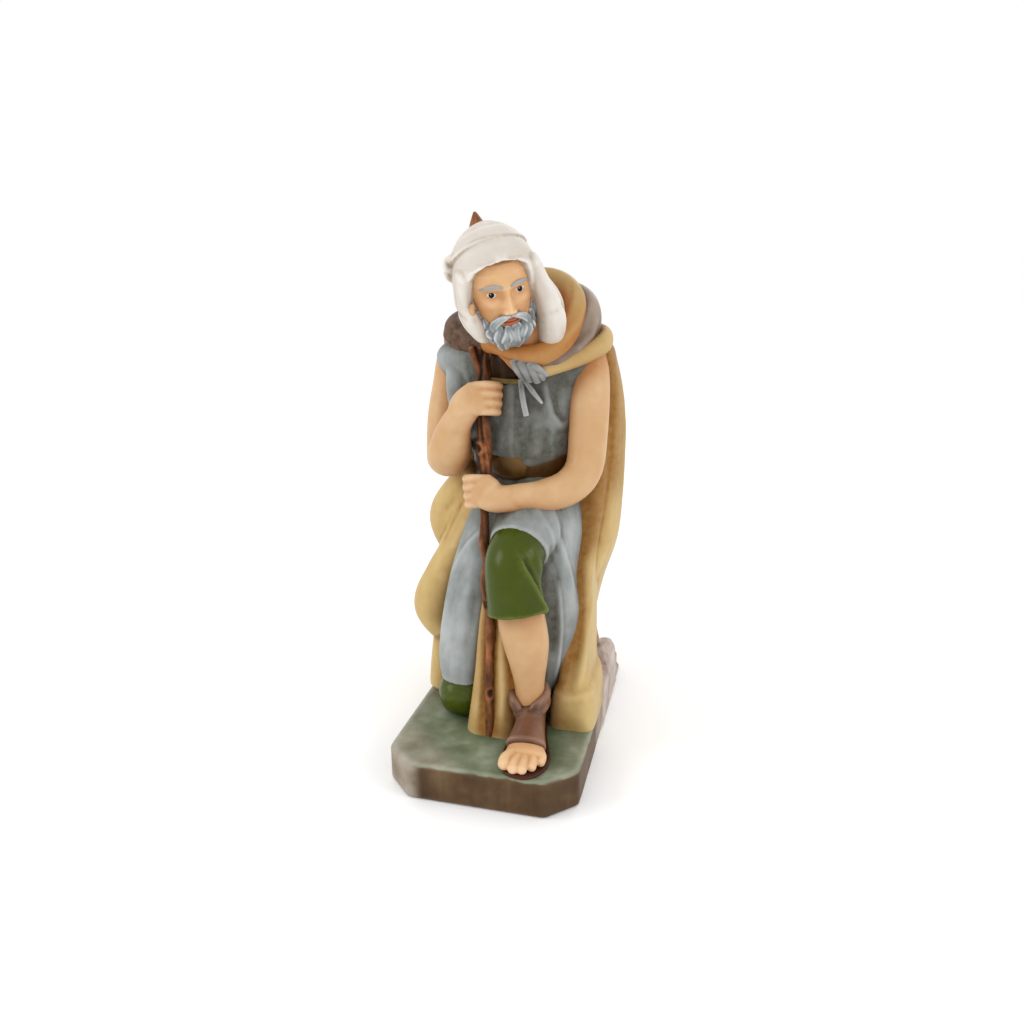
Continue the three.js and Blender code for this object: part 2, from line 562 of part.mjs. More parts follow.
// The headscarf: a cap with a band bound slanting round the brow, and its ends hanging beside
// the face.
function scarf() {
  const back = drape([
    [-20, 0, 6, 11, 11, 6, 9], [-14, 0, 5, 14, 14, 10, 12], [-6, 0, 4, 15, 15, 12, 14.5],
    [2, 0, 3.5, 15.4, 15.4, 12.5, 16], [9, 0, 3, 15.2, 15.2, 14, 16.4], [13, 0, 3, 13, 13, 12, 15],
  ], { rings: 5, sides: 13 });
  const cap = drape([
    [8, 0, 3, 14.4, 14.4, 15.8, 16.4], [14, 0, 3, 14.2, 14.2, 15.8, 16.4], [18.5, 0, 3, 11, 11, 12.4, 13.4],
    [21.5, 0, 3, 6.4, 6.4, 7, 8], [22.5, 0, 3, 3, 3, 3.4, 4],
  ], { rings: 5, sides: 15, square: 2.1 });
  const band = drape([
    [7.4, 0, 2.4, 15.2, 15.2, 17.2, 17], [9.8, 0, 2.4, 15.6, 15.6, 17.6, 17.4],
    [12.4, 0, 2.4, 15.6, 15.6, 17.6, 17.4], [14.8, 0, 2.6, 14.2, 14.2, 15.8, 16],
  ], { rings: 4, sides: 15, square: 2.1 })
    .transform(new THREE.Matrix4().makeRotationY(BAND_SLANT).elements);
  const ends = [
    [[-12.6, -5, 8, 4, 7], [-14, -4.6, -3, 3.4, 7.2], [-13.2, -5.6, -13, 3.2, 6.6], [-10.5, -7, -20, 2.2, 4]],
    [[12.6, -4, 8, 4, 7], [15.4, -3, -4, 3.6, 7.4], [17.4, -3, -14, 3.8, 7.4], [16, -4, -24, 2.2, 4.6]],
    [[13, 3, 2, 4, 7], [18, 2, -8, 3.6, 7], [19.6, 1, -16, 3, 5]],
  ].map((rows) => limb(rows, { rings: 4, sides: 6 }));
  const knot = limb([[-15, 1, 10.5, 2.4, 2.4], [-16, 1.4, 7, 2.2, 2.2]], { rings: 2, sides: 7 });
  return onHead(joined([back, cap, band, knot, ...ends]));
}

// The fallen hood: three rolls of cloth round the neck, over a low dome behind it.
function hood() {
  const dome = drape([
    [138, 0, 10, 28, 30, 16, 20], [148, -1, 11, 28, 31, 15, 22], [156, 0, 13, 24, 28, 12, 20],
    [164, 1, 15, 18, 22, 10, 17], [170, 2, 16, 12, 14, 8, 12],
  ], { rings: 4, sides: 12 });
  const inner = roll([
    [3.5, -12, 142.5, 4, 4.5], [13, -10.5, 144.5, 4.4, 6], [19.5, -3, 152, 5, 7.5], [19.5, 7, 162, 5, 7.5],
    [13, 16, 169, 5, 6.5], [2, 21, 171, 4.6, 6], [-12, 17, 166, 4.4, 6], [-20, 7, 158, 4.4, 6],
    [-18, -2, 151, 4, 6], [-8.5, -8, 147, 3.4, 4.4],
  ]);
  const middle = roll([
    [7, -12, 140, 3, 3], [16.5, -8.5, 142.5, 4, 5], [24.5, 1, 149, 4.2, 6.5], [24.5, 12, 157, 4.2, 6.5],
    [16, 22, 163, 4.6, 6], [2, 27, 164, 4.6, 6], [-15, 22, 160, 4.6, 6], [-26, 11, 153, 4.4, 5.5],
    [-25, 1, 149.5, 4, 5], [-14, -5, 146, 3, 4],
  ]);
  const outer = roll([
    [8.5, -12.5, 138.6, 2.4, 2.4], [19, -8.5, 141, 3, 4], [29.5, 1, 145.5, 3.2, 5], [31.5, 12, 149, 3.2, 5],
    [22, 26, 151, 3.6, 5], [3, 32, 151, 3.8, 5], [-18, 27, 150, 3.6, 5], [-30, 12, 149, 3.4, 4.4],
    [-27, 3, 148, 3, 4], [-11, -3, 144, 2.4, 3],
  ]);
  return joined([dome, inner, middle, outer]);
}

// The broad belt with a rounded pouch on it.
function belt() {
  const band = drape([
    [96.4, 0, 8, 19.4, 21.4, 16.6, 15], [97, 0, 8, 20.4, 22.4, 17.6, 16],
    [106, 0, 8, 20.6, 22.6, 17.8, 16], [106.8, 0, 8, 19.4, 21.4, 16.6, 15],
  ], { rings: 4, sides: 18 });
  const pouch = limb([
    [-5.6, -9.8, 101.8, 1.6, 4.6], [1.4, -10, 101.2, 1.7, 4.4],
  ], { rings: 2, sides: 9, domeRings: 1, across: [0, 1, 0] });
  return joined([band, pouch]);
}

// The tie of the cloak: its knot, its loop and its two hanging ends.
function tie() {
  const strands = [
    [[4.4, -13.6, 142.5, 2.2, 2], [8.6, -14.4, 136.6, 2.4, 2]],
    [[7.6, -14.6, 139.5, 1.8, 1.4], [13.4, -13.6, 139.6, 2.6, 1.6]],
    [[7.6, -13, 136, 1.4, 1], [8.8, -10.6, 123, 1.4, 0.9]],
    [[8.6, -13, 136, 1.4, 1], [14.2, -10.4, 128, 1.2, 0.9]],
  ];
  return joined(strands.map((rows) => limb(rows, { rings: 2, sides: 6 })));
}

// Everything but the staff is one casting, with a channel for the staff. The chips of cloth the
// channel cuts loose and any hollow sealed inside are dropped with all but the largest body.
const carved = {
  base: base(),
  rock: rock(),
  cloak: cloak(),
  innerFold: innerFold(),
  tunicBody: tunicBody(),
  skirtRight: skirtRight(),
  skirtLeft: skirtLeft(),
  breeches: breeches(),
  shin: shin(),
  foot: foot(),
  arms: arms(),
  hands: hands(),
  head: head(),
  beard: beard(),
  scarf: scarf(),
  hood: hood(),
  belt: belt(),
  tie: tie(),
};
const figure = joined(Object.values(carved))
  .subtract(staff(STAFF_CLEARANCE))
  .decompose().sort((a, b) => b.volume() - a.volume())[0];

// A named mesh of a solid, in its own painted colour.
function meshOf(name, solid, color, roughness) {
  const { vertProperties, triVerts } = solid.getMesh();
  const geometry = new THREE.BufferGeometry();
  geometry.setAttribute('position', new THREE.BufferAttribute(vertProperties, 3));
  geometry.setIndex(new THREE.BufferAttribute(triVerts, 1));
  const mesh = new THREE.Mesh(geometry, new THREE.MeshStandardMaterial({ color, roughness, metalness: 0 }));
  mesh.name = name;
  return mesh;
}

const shepherd = new THREE.Group();
shepherd.add(meshOf('figure', figure, 0xb49a66, 0.5));
shepherd.add(meshOf('staff', staff(), 0x6f4630, 0.5));
shepherd.position.z = BASE_HEIGHT;

export default shepherd;
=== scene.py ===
"""A painted nativity figure of an old shepherd kneeling with both hands on a gnarled staff.

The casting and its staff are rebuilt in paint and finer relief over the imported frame. Lengths are
in millimetres above the top of the base until `piece` turns them into metres in the shared frame.
"""
import math

import bpy
import numpy as np
from mathutils import Matrix, Vector


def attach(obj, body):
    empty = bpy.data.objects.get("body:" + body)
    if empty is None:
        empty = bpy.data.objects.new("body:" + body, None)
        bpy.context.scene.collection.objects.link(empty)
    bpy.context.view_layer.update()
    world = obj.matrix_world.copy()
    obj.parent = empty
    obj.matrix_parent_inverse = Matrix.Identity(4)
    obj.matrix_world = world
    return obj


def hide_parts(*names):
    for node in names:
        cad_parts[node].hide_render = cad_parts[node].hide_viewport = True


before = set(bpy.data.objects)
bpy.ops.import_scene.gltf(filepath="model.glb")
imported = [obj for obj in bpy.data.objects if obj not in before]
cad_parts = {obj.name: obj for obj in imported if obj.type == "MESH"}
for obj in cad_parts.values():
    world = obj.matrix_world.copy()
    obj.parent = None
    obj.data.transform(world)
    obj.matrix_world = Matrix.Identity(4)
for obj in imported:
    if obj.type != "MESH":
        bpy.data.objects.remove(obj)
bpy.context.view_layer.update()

# The studio: a pale floor, soft lights from both sides and a weak one from behind, in a bright
# even surround. The camera looks down a little from the figure's left, as the photograph's does.
WHITE = (1, 1, 1, 1)
FLOOR_REACH = 9
CAMERA_PLACE = Vector((0.0804, -0.32835, 0.1991))
CAMERA_AZIMUTH = math.radians(14.29)
CAMERA_DROP = math.radians(17.12)
CAMERA_LENS = 30.02

floor_mesh = bpy.data.meshes.new("floor")
floor_corners = [(x * FLOOR_REACH, y * FLOOR_REACH, 0) for x, y in ((-1, -1), (1, -1), (1, 1), (-1, 1))]
floor_mesh.from_pydata(floor_corners, [], [(0, 1, 2, 3)])
floor = bpy.data.objects.new("floor", floor_mesh)
bpy.context.scene.collection.objects.link(floor)
floor_paint = bpy.data.materials.new("floor")
floor_paint.use_nodes = True
floor_shader = floor_paint.node_tree.nodes["Principled BSDF"]
floor_shader.inputs["Base Color"].default_value = WHITE
floor_shader.inputs["Roughness"].default_value = 0.9
floor_mesh.materials.append(floor_paint)

camera_data = bpy.data.cameras.new("camera")
camera_data.sensor_width = 36
camera_data.lens = CAMERA_LENS
camera_data.clip_start = 0.01
camera = bpy.data.objects.new("camera", camera_data)
bpy.context.scene.collection.objects.link(camera)
camera.matrix_world = (
    Matrix.Translation(CAMERA_PLACE)
    @ Matrix.Rotation(CAMERA_AZIMUTH, 4, "Z")
    @ Matrix.Rotation(math.pi / 2 - CAMERA_DROP, 4, "X")
)
bpy.context.scene.camera = camera


def soft_light(name, place, target_height, power):
    """A square lamp, 0.4 m wide, at a place, facing the figure's axis at a height."""
    data = bpy.data.lights.new(name, "AREA")
    data.size = 0.4
    data.energy = power
    lamp = bpy.data.objects.new(name, data)
    bpy.context.scene.collection.objects.link(lamp)
    lamp.location = place
    aim = Vector((0, 0, target_height)) - Vector(place)
    lamp.rotation_euler = aim.to_track_quat("-Z", "Y").to_euler()


soft_light("key", (-0.7, -0.4, 0.55), 0.1, 2.0)
soft_light("fill", (0.75, -0.2, 0.5), 0.1, 1.4)
soft_light("rim", (0.1, 0.8, 0.6), 0.12, 0.7)
world = bpy.data.worlds.new("studio")
bpy.context.scene.world = world
world.use_nodes = True
surround = world.node_tree.nodes["Background"]
surround.inputs["Color"].default_value = WHITE
surround.inputs["Strength"].default_value = 1.0
bpy.context.scene.view_settings.view_transform = "Standard"

# The base: a cast slab with its corners cut back, green over its top and brown down its sides,
# the edge between them brushed unevenly. It is one casting with the figure.
BASE_WIDTH, BASE_DEPTH, BASE_HEIGHT, BASE_CORNER = 75, 138, 15, 11
BASE_ROUNDING, STONE_SLOPE = 1.1, 10
MILLIMETRES = 1000
BASE_TOP = (0, 0, BASE_HEIGHT)


def ramp(value, start, width):
    """0 up to `start`, 1 from `start` + `width` on, and straight between."""
    return np.clip((value - start) / width, 0, 1)


def hill(value, width):
    """exp(-(value / width) squared): 1 at 0, and nearly nothing two widths away."""
    return np.exp(-((value / width) ** 2))


def dot(a, b):
    """The dot product of each row of `a` with the same row of `b`."""
    return np.einsum("ij,ij->i", a, b)


def triangles_of(rings, sides, looped, poles):
    """Triangles of a grid of rings x sides that closes round its sides, and on itself when looped.

    Poles adds a fan at each end, to the two points that follow the grid's own.
    """
    i, j = np.meshgrid(np.arange(rings if looped else rings - 1), np.arange(sides), indexing="ij")
    a, b = i * sides + j, i * sides + (j + 1) % sides
    c, d = ((i + 1) % rings) * sides + (j + 1) % sides, ((i + 1) % rings) * sides + j
    found = [np.stack([a, b, c], -1).reshape(-1, 3), np.stack([a, c, d], -1).reshape(-1, 3)]
    if poles:
        j, last = np.arange(sides), (rings - 1) * sides
        first_pole, last_pole = np.full(sides, rings * sides), np.full(sides, rings * sides + 1)
        found.append(np.stack([(j + 1) % sides, j, first_pole], -1))
        found.append(np.stack([last + j, last + (j + 1) % sides, last_pole], -1))
    return np.concatenate(found)


def facing_out(points, faces):
    """The same mass with its triangles turned over if they enclose a negative volume."""
    a, b, c = (points[faces[:, k]] for k in range(3))
    volume = dot(a, np.cross(b, c)).sum()
    return (points, faces[:, ::-1]) if volume < 0 else (points, faces)


def skin(grid, first=None, last=None):
    """A closed mass over a grid of points (rings, sides, 3), with end points or looped without."""
    rings, sides = grid.shape[:2]
    points = grid.reshape(-1, 3)
    if first is not None:
        points = np.concatenate([points, [first], [last]])
    return facing_out(points, triangles_of(rings, sides, first is None, first is not None))


def joined(masses):
    """One list of points and triangles from several masses, which may overlap."""
    points, faces, count = [], [], 0
    for mass_points, mass_faces in masses:
        points.append(mass_points)
        faces.append(mass_faces + count)
        count += len(mass_points)
    return np.concatenate(points), np.concatenate(faces)


def mesh_of(name, points, faces):
    """A mesh datablock of points in metres and triangles, shaded smooth."""
    mesh = bpy.data.meshes.new(name)
    mesh.vertices.add(len(points))
    mesh.vertices.foreach_set("co", points.astype(np.float32).ravel())
    mesh.loops.add(faces.size)
    mesh.loops.foreach_set("vertex_index", faces.astype(np.int32).ravel())
    mesh.polygons.add(len(faces))
    mesh.polygons.foreach_set("loop_start", np.arange(0, faces.size, 3, dtype=np.int32))
    mesh.update(calc_edges=True)
    mesh.validate()
    mesh.shade_smooth()
    return mesh


def read_points(mesh, kind="co"):
    """The places of the mesh's points, or their normals where `kind` is "normal"."""
    values = np.empty(len(mesh.vertices) * 3, np.float32)
    mesh.vertices.foreach_get(kind, values)
    return values.reshape(-1, 3).astype(float)


def move_points(mesh, points):
    """Puts the mesh's points in new places."""
    mesh.vertices.foreach_set("co", points.astype(np.float32).ravel())
    mesh.update()


def edges_of(mesh):
    """The mesh's edges as an array of pairs of points."""
    edges = np.empty(len(mesh.edges) * 2, np.int32)
    mesh.edges.foreach_get("vertices", edges)
    return edges.reshape(-1, 2)


def averaged(points, edges, steps, pull=0.5):
    """Points drawn `pull` of the way to the mean of their neighbours, `steps` times."""
    count = len(points)
    ends = np.concatenate([edges[:, 0], edges[:, 1]])
    others = np.concatenate([edges[:, 1], edges[:, 0]])
    degree = np.maximum(np.bincount(ends, minlength=count), 1)[:, None]
    for _ in range(steps):
        sums = np.stack([np.bincount(ends, points[others, k], minlength=count) for k in range(3)], -1)
        points = points + pull * (sums / degree - points)
    return points


def softened(points, edges, steps):
    """Points smoothed without shrinking: each inward step is followed by a slightly larger outward."""
    for _ in range(steps):
        points = averaged(points, edges, 1, 0.5)
        points = averaged(points, edges, 1, -0.53)
    return points


def mark(mesh, name, values):
    """Stores one number at each point of the mesh, for its paint to read."""
    attribute = mesh.attributes.new(name, "FLOAT", "POINT")
    attribute.data.foreach_set("value", np.asarray(values, np.float32))


made = []


def blended(body, voxel):
    """The body's mesh with its overlapping masses blended into one skin of small squares."""
    loose = body.data
    remesh = body.modifiers.new("blend", "REMESH")
    remesh.mode = "VOXEL"
    remesh.voxel_size = voxel / MILLIMETRES
    graph = bpy.context.evaluated_depsgraph_get()
    mesh = bpy.data.meshes.new_from_object(body.evaluated_get(graph))
    body.modifiers.clear()
    body.data = mesh
    bpy.data.meshes.remove(loose)
    mesh.name = body.name
    mesh.shade_smooth()
    return mesh


def piece(name, mass, paint, voxel=None, smooth=4, spread=10, carve=None, stain_and_painted_light=None, node="figure"):
    """A painted piece from a mass in millimetres above the base's top.

    With a voxel size its overlapping masses are blended into one skin and smoothed. `carve`
    moves the finished points. `relief` is how far each point stands out of, or lies below, its
    surroundings averaged over `spread` steps, in half voxels. The stain function gives it extra
    wash, which on most pieces is painted shade and on the lids and beard painted marks; on the
    base it gives the stone's paint and a painted sheen.
    """
    points, faces = mass
    mesh = mesh_of(name, (points + BASE_TOP) / MILLIMETRES, faces)
    body = bpy.data.objects.new(name, mesh)
    bpy.context.scene.collection.objects.link(body)
    if voxel:
        mesh = blended(body, voxel)
    edges = edges_of(mesh)
    points = read_points(mesh)
    if voxel:
        points = softened(points, edges, smooth)
    if carve:
        move_points(mesh, points)
        carved = carve(points * MILLIMETRES - BASE_TOP, read_points(mesh, "normal"), edges)
        points = (carved + BASE_TOP) / MILLIMETRES
    move_points(mesh, points)
    sunk = dot(averaged(points, edges, spread) - points, read_points(mesh, "normal"))
    half_step = 0.5 * (voxel or 0.5) / MILLIMETRES
    mark(mesh, "relief", np.clip(-sunk / half_step, -1, 1))
    if stain_and_painted_light:
        mark(mesh, "stain_and_painted_light", stain_and_painted_light(points * MILLIMETRES - BASE_TOP))
    mesh.materials.clear()
    mesh.materials.append(paint)
    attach(body, "root")
    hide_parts(node)
    made.append(body)


def colour(red, green, blue):
    """A display colour, 0 to 255, as the linear colour that shaders take."""
    shares = [part / 255 for part in (red, green, blue)]
    return (*(((c + 0.055) / 1.055) ** 2.4 if c > 10 / 255 else c / 12.92 for c in shares), 1)


def wire(tree, target, values):
    """A node with its inputs set: numbers and colours directly, sockets by a link."""
    for key, value in values.items():
        if isinstance(value, bpy.types.NodeSocket):
            tree.links.new(value, target.inputs[key])
        else:
            target.inputs[key].default_value = value
    return target


def mixed(tree, factor, a, b):
    """Colour a turned to colour b as the factor goes from 0 to 1."""
    mixer = tree.nodes.new("ShaderNodeMix")
    mixer.data_type = "RGBA"
    return wire(tree, mixer, {0: factor, 6: a, 7: b}).outputs[2]


def brushed_paint_group():
    """Hand paint on a casting: a coat that varies in patches, a dark wash run into hollows,
    crevices and stains, where it also paints the shade, and a pale dry brush over what stands
    out and isn't stained or shaded, where it also paints the highlights."""
    group = bpy.data.node_groups.new("brushed paint", "ShaderNodeTree")
    sockets = group.interface
    for name in ("Coat", "Wash and shade", "Dry brush and highlight"):
        sockets.new_socket(name=name, in_out="INPUT", socket_type="NodeSocketColor")
    for name in ("Wash amount", "Dry amount", "Patchiness", "Patch size", "Streaks", "Gloss"):
        sockets.new_socket(name=name, in_out="INPUT", socket_type="NodeSocketFloat")
    for name, kind in (("Colour", "Color"), ("Roughness", "Float"), ("Height", "Float")):
        sockets.new_socket(name=name, in_out="OUTPUT", socket_type="NodeSocket" + kind)
    nodes = group.nodes
    given = nodes.new("NodeGroupInput").outputs
    outside = nodes.new("NodeGroupOutput")
    place = nodes.new("ShaderNodeTexCoord").outputs["Object"]

    def noise(scale, detail, roughness, where=place):
        maker = nodes.new("ShaderNodeTexNoise")
        values = {"Vector": where, "Scale": scale, "Detail": detail, "Roughness": roughness}
        return wire(group, maker, values).outputs["Fac"]

    def maths(operation, a, b, clamp=False):
        sum_node = nodes.new("ShaderNodeMath")
        sum_node.operation = operation
        sum_node.use_clamp = clamp
        return wire(group, sum_node, {0: a, 1: b}).outputs[0]

    def times(a, b, clamp=False):
        return maths("MULTIPLY", a, b, clamp)

    def plus(a, b, clamp=False):
        return maths("ADD", a, b, clamp)

    def less(a, b, clamp=False):
        return maths("SUBTRACT", a, b, clamp)

    def stored(name):
        reader = nodes.new("ShaderNodeAttribute")
        reader.attribute_name = name
        return reader.outputs["Fac"]

    # Noise for the patches, drawn out down the figure where the paint is streaked, and a fine one.
    tall = nodes.new("ShaderNodeVectorMath")
    tall.operation = "MULTIPLY"
    wire(group, tall, {0: place, 1: (1, 1, 0.12)})
    clouds = noise(given["Patch size"], 3.0, 0.55)
    strokes = noise(240.0, 2.0, 0.5, tall.outputs[0])
    patches = plus(clouds, times(less(strokes, 0.5), given["Streaks"]))
    fine = noise(420.0, 4.0, 0.6)

    # The coat, lighter where the patches are high and towards the wash where they are low.
    swing = less(patches, 0.5)
    shift = times(swing, given["Patchiness"])
    lighter = mixed(group, times(shift, 4.0, True), given["Coat"], given["Dry brush and highlight"])
    coat = mixed(group, times(shift, -4.0, True), lighter, given["Wash and shade"])

    # The wash, which also paints the shade, in what is sunk, enclosed or marked with stain and shade, then
    # the dry brush, which also paints the highlights, on what stands out.
    relief = stored("relief")
    stain_and_painted_light = stored("stain_and_painted_light")
    uneven = plus(times(fine, 0.7), 0.55)
    sunk = less(times(relief, -1.1), 0.05, True)
    deep = plus(plus(sunk, stored("crevice")), stain_and_painted_light, True)
    wash_and_shade = times(times(deep, uneven), given["Wash amount"], True)
    washed_and_shaded = mixed(group, wash_and_shade, coat, given["Wash and shade"])
    proud = less(times(relief, 1.3), 0.12, True)
    unstained_unshaded = less(1.0, times(stain_and_painted_light, 0.7), True)
    brush = times(times(proud, uneven), times(given["Dry amount"], unstained_unshaded), True)
    painted = mixed(group, brush, washed_and_shaded, given["Dry brush and highlight"])

    # The patches and the wash dull the varnish, and both noises dent it.
    gloss = plus(given["Gloss"], times(swing, 0.25), True)
    rough = plus(gloss, times(wash_and_shade, 0.12), True)
    height = plus(times(fine, 0.35), times(patches, 0.4))
    wire(group, outside, {"Colour": painted, "Roughness": rough, "Height": height})
    return group


BRUSHED = brushed_paint_group()


def brushed(tree, coat, wash_and_shade, dry_brush_and_highlight, wash_and_shade_amount, dry_brush_and_highlight_amount, patchiness, patch_size, gloss, streaks=0.0):
    """The outputs of one layer of brushed paint: three display colours, then its other values."""
    layer = tree.nodes.new("ShaderNodeGroup")
    layer.node_tree = BRUSHED
    return wire(tree, layer, {
        "Coat": colour(*coat), "Wash and shade": colour(*wash_and_shade), "Dry brush and highlight": colour(*dry_brush_and_highlight),
        "Wash amount": wash_and_shade_amount, "Dry amount": dry_brush_and_highlight_amount, "Patchiness": patchiness,
        "Patch size": patch_size, "Gloss": gloss, "Streaks": streaks,
    }).outputs


def new_paint(name):
    """A new material, its node tree and its shader."""
    material = bpy.data.materials.new(name)
    material.use_nodes = True
    return material, material.node_tree, material.node_tree.nodes["Principled BSDF"]


def varnished(tree, shader, base, roughness, height, dent, depth, varnish, varnish_roughness, shine):
    """Sets the shader: a colour under varnish, dented by a height that is `depth` metres deep."""
    dents = tree.nodes.new("ShaderNodeBump")
    wire(tree, dents, {"Height": height, "Strength": dent, "Distance": depth})
    wire(tree, shader, {
        "Base Color": base, "Roughness": roughness, "Normal": dents.outputs["Normal"],
        "Coat Weight": varnish, "Coat Roughness": varnish_roughness, "Specular IOR Level": shine,
    })


def paint(
    name, coat, wash_and_shade, dry_brush_and_highlight, wash_and_shade_amount=0.8, dry_brush_and_highlight_amount=0.4, patchiness=0.12, patch_size=70.0,
    gloss=0.42, dent=0.12, varnish=0.06, streaks=0.0, shine=0.18,
):
    """A painted finish: the brushed paint under a thin satin varnish."""
    material, tree, shader = new_paint(name)
    layer = brushed(tree, coat, wash_and_shade, dry_brush_and_highlight, wash_and_shade_amount, dry_brush_and_highlight_amount, patchiness, patch_size, gloss, streaks)
    varnished(tree, shader, layer["Colour"], layer["Roughness"], layer["Height"], dent, 0.0004,
              varnish, 0.24, shine)
    return material


def base_mass():
    """Level outlines of the slab carried up its height: in from the edge by a quarter circle at
    the bottom and the top, then in flat steps to the middle, with shallow waves on the top. The
    rear corner on the figure's left is cut back to a plane that leans in by STONE_SLOPE."""
    half = np.array([BASE_WIDTH / 2, BASE_DEPTH / 2])
    right, back = 1 - BASE_CORNER / half
    corners = half * [
        [1, -back], [1, back], [right, 1], [-right, 1], [-1, back], [-1, -back], [-right, -1], [right, -1],
    ]
    points_a_side, softening = 40, 3
    t = np.linspace(0, 1, points_a_side, endpoint=False)[None, :, None]
    outline = (corners[:, None] * (1 - t) + np.roll(corners, -1, 0)[:, None] * t).reshape(-1, 2)
    for _ in range(softening):
        outline = (np.roll(outline, 1, 0) + 2 * outline + np.roll(outline, -1, 0)) / 4
    turn = np.linspace(0, np.pi / 2, 6)
    start, end = BASE_ROUNDING * (1 - np.sin(turn)), BASE_ROUNDING * (1 - np.cos(turn))
    below, above = [30, 12, 4], [2, 3.5, 6, 9, 13, 18, 24, 30, 35]
    inset = np.concatenate([below, start, end, above])
    height = np.concatenate([
        np.full(len(below), -BASE_HEIGHT), end - BASE_HEIGHT, -start, np.zeros(len(above)),
    ])
    shrink = 1 - inset[:, None, None] / half
    grid = np.concatenate([
        outline * shrink, np.broadcast_to(height[:, None, None], (len(height), len(outline), 1)),
    ], -1)
    on_top = ramp(inset, 1.2, 3)[:, None] * (grid[..., 2] > -0.01)
    x, y = grid[..., 0], grid[..., 1]
    grid[..., 2] += on_top * (0.18 * np.sin(x / 4.1 + np.sin(y / 7)) * np.sin(y / 5.3 + 1) - 0.12)
    tilt = math.atan2(STONE_SLOPE, BASE_HEIGHT)
    level = math.cos(tilt) / math.sqrt(2)
    out = np.array([level, level, math.sin(tilt)])
    foot = np.array([(BASE_WIDTH - BASE_CORNER) / 2, (BASE_DEPTH - BASE_CORNER) / 2, -BASE_HEIGHT])
    past = np.maximum((grid - foot) @ out, 0)
    return skin(grid - past[..., None] * out, (0, 0, -BASE_HEIGHT), (0, 0, 0))


def ground_paint(name):
    """Three layers of paint on one casting: the grass where the surface is above a height that
    wanders by up to 1.8 mm, the earth below it, and the stone's as far as the value stored at
    each point says, which also paints a pale sheen on the base's sides and rims."""
    material, tree, shader = new_paint(name)
    grass = brushed(tree, (114, 124, 97), (66, 82, 50), (162, 167, 148), 0.75, 0.3, 1.1, 62.0, 0.5)
    earth = brushed(tree, (80, 57, 33), (50, 34, 16), (112, 90, 62), 0.4, 0.2, 0.8, 60.0, 0.5, 0.25)
    # The stone's pale layer also paints the sheen where light glances off the base.
    stone = brushed(tree, (172, 164, 150), (118, 98, 74), (212, 206, 194), 0.6, 0.4, 0.8, 110.0, 0.5)
    place = tree.nodes.new("ShaderNodeTexCoord").outputs["Object"]
    parted = wire(tree, tree.nodes.new("ShaderNodeSeparateXYZ"), {0: place})
    wander = tree.nodes.new("ShaderNodeTexNoise")
    wire(tree, wander, {"Vector": place, "Scale": 130.0, "Detail": 3.0})
    lifted = tree.nodes.new("ShaderNodeMath")
    lifted.operation = "MULTIPLY_ADD"
    wire(tree, lifted, {0: wander.outputs["Fac"], 1: 0.0018, 2: parted.outputs["Z"]})
    height = tree.nodes.new("ShaderNodeMapRange")
    wire(tree, height, {"Value": lifted.outputs[0], "From Min": 0.0149, "From Max": 0.0155})
    stain_and_painted_light = tree.nodes.new("ShaderNodeAttribute")
    stain_and_painted_light.attribute_name = "stain_and_painted_light"
    ground = mixed(tree, height.outputs[0], earth["Colour"], grass["Colour"])
    over = mixed(tree, stain_and_painted_light.outputs["Fac"], ground, stone["Colour"])
    varnished(tree, shader, over, grass["Roughness"], earth["Height"], 0.35, 0.0005, 0.05, 0.3, 0.18)
    return material


def stone_paint_and_sheen(points):
    """Where the stone's pale paint runs over the base and where a pale sheen is painted on it, as
    light glancing off the satin paint: both down its flank behind the cloak's hem, the sheen over
    the right side and its front chamfer, and thinly along the top's rims and its front corner
    there, each fading over some millimetres."""
    x, y, z = points.T
    flank = ramp(x, 35.4, 1.5) * ramp(y, -22, 8)
    rear = ramp(x + y, 86, 4)
    right = 0.7 * ramp(-x, 35, 3) + 0.8 * ramp(-x - y, 90, 4)
    top = ramp(z, -1, 1)
    rim = np.where(x < 0, 0.6, 0.3) * ramp(np.abs(x + 2), 25, 11) * top
    corner = 0.6 * ramp(-x - y, 66, 16) * top
    return np.clip(np.max([flank, rear, right, rim, corner], 0), 0, 1)


piece("base", base_mass(), ground_paint("base paint"), voxel=1.0, smooth=2, stain_and_painted_light=stone_paint_and_sheen)

# The stone that rises from the base behind the figure's left side and over its edge, part of the
# casting, painted pale taupe with brown run into its pits, which also paints the shade in them.
STONE_HEIGHT, STONE_LENGTH, STONE_WIDTH = 13, 78, 30
STONE_INSET, STONE_BEHIND, STONE_PROUD = 11, 16, 0.6
STONE_RIDGES, STONE_PITS = 9, 260
stone_dice = np.random.default_rng(11)


def unit(vectors):
    """Vectors scaled to length 1."""
    return vectors / np.maximum(np.linalg.norm(vectors, axis=-1, keepdims=True), 1e-9)


def stone_mass():
    """A dome: a level outline that shrinks as a power of the cosine of its climb, made uneven by
    sines, its outer side flattened just outside the base's edge."""
    steepest, foot = np.radians(80), 0.9 - BASE_HEIGHT
    turn = np.linspace(0, 2 * np.pi, 260, endpoint=False)[None]
    climb = np.linspace(0, steepest, 90)[:, None]
    t = climb / steepest
    middle = np.array([BASE_WIDTH / 2 - STONE_INSET, STONE_BEHIND, foot])
    reach = np.cos(climb) ** 0.6 * (1 + 0.09 * np.sin(3 * turn + 1) + 0.06 * np.sin(5 * turn + 7 * t))
    x = np.minimum(middle[0] + STONE_WIDTH / 2 * np.cos(turn) * reach, BASE_WIDTH / 2 + STONE_PROUD)
    y = middle[1] + STONE_LENGTH / 2 * np.sin(turn) * reach
    z = foot + (STONE_HEIGHT - foot) * np.sin(climb) * (1 + 0.14 * np.sin(4 * turn))
    return skin(np.stack([x, y, z], -1), middle, (middle[0], middle[1], STONE_HEIGHT))


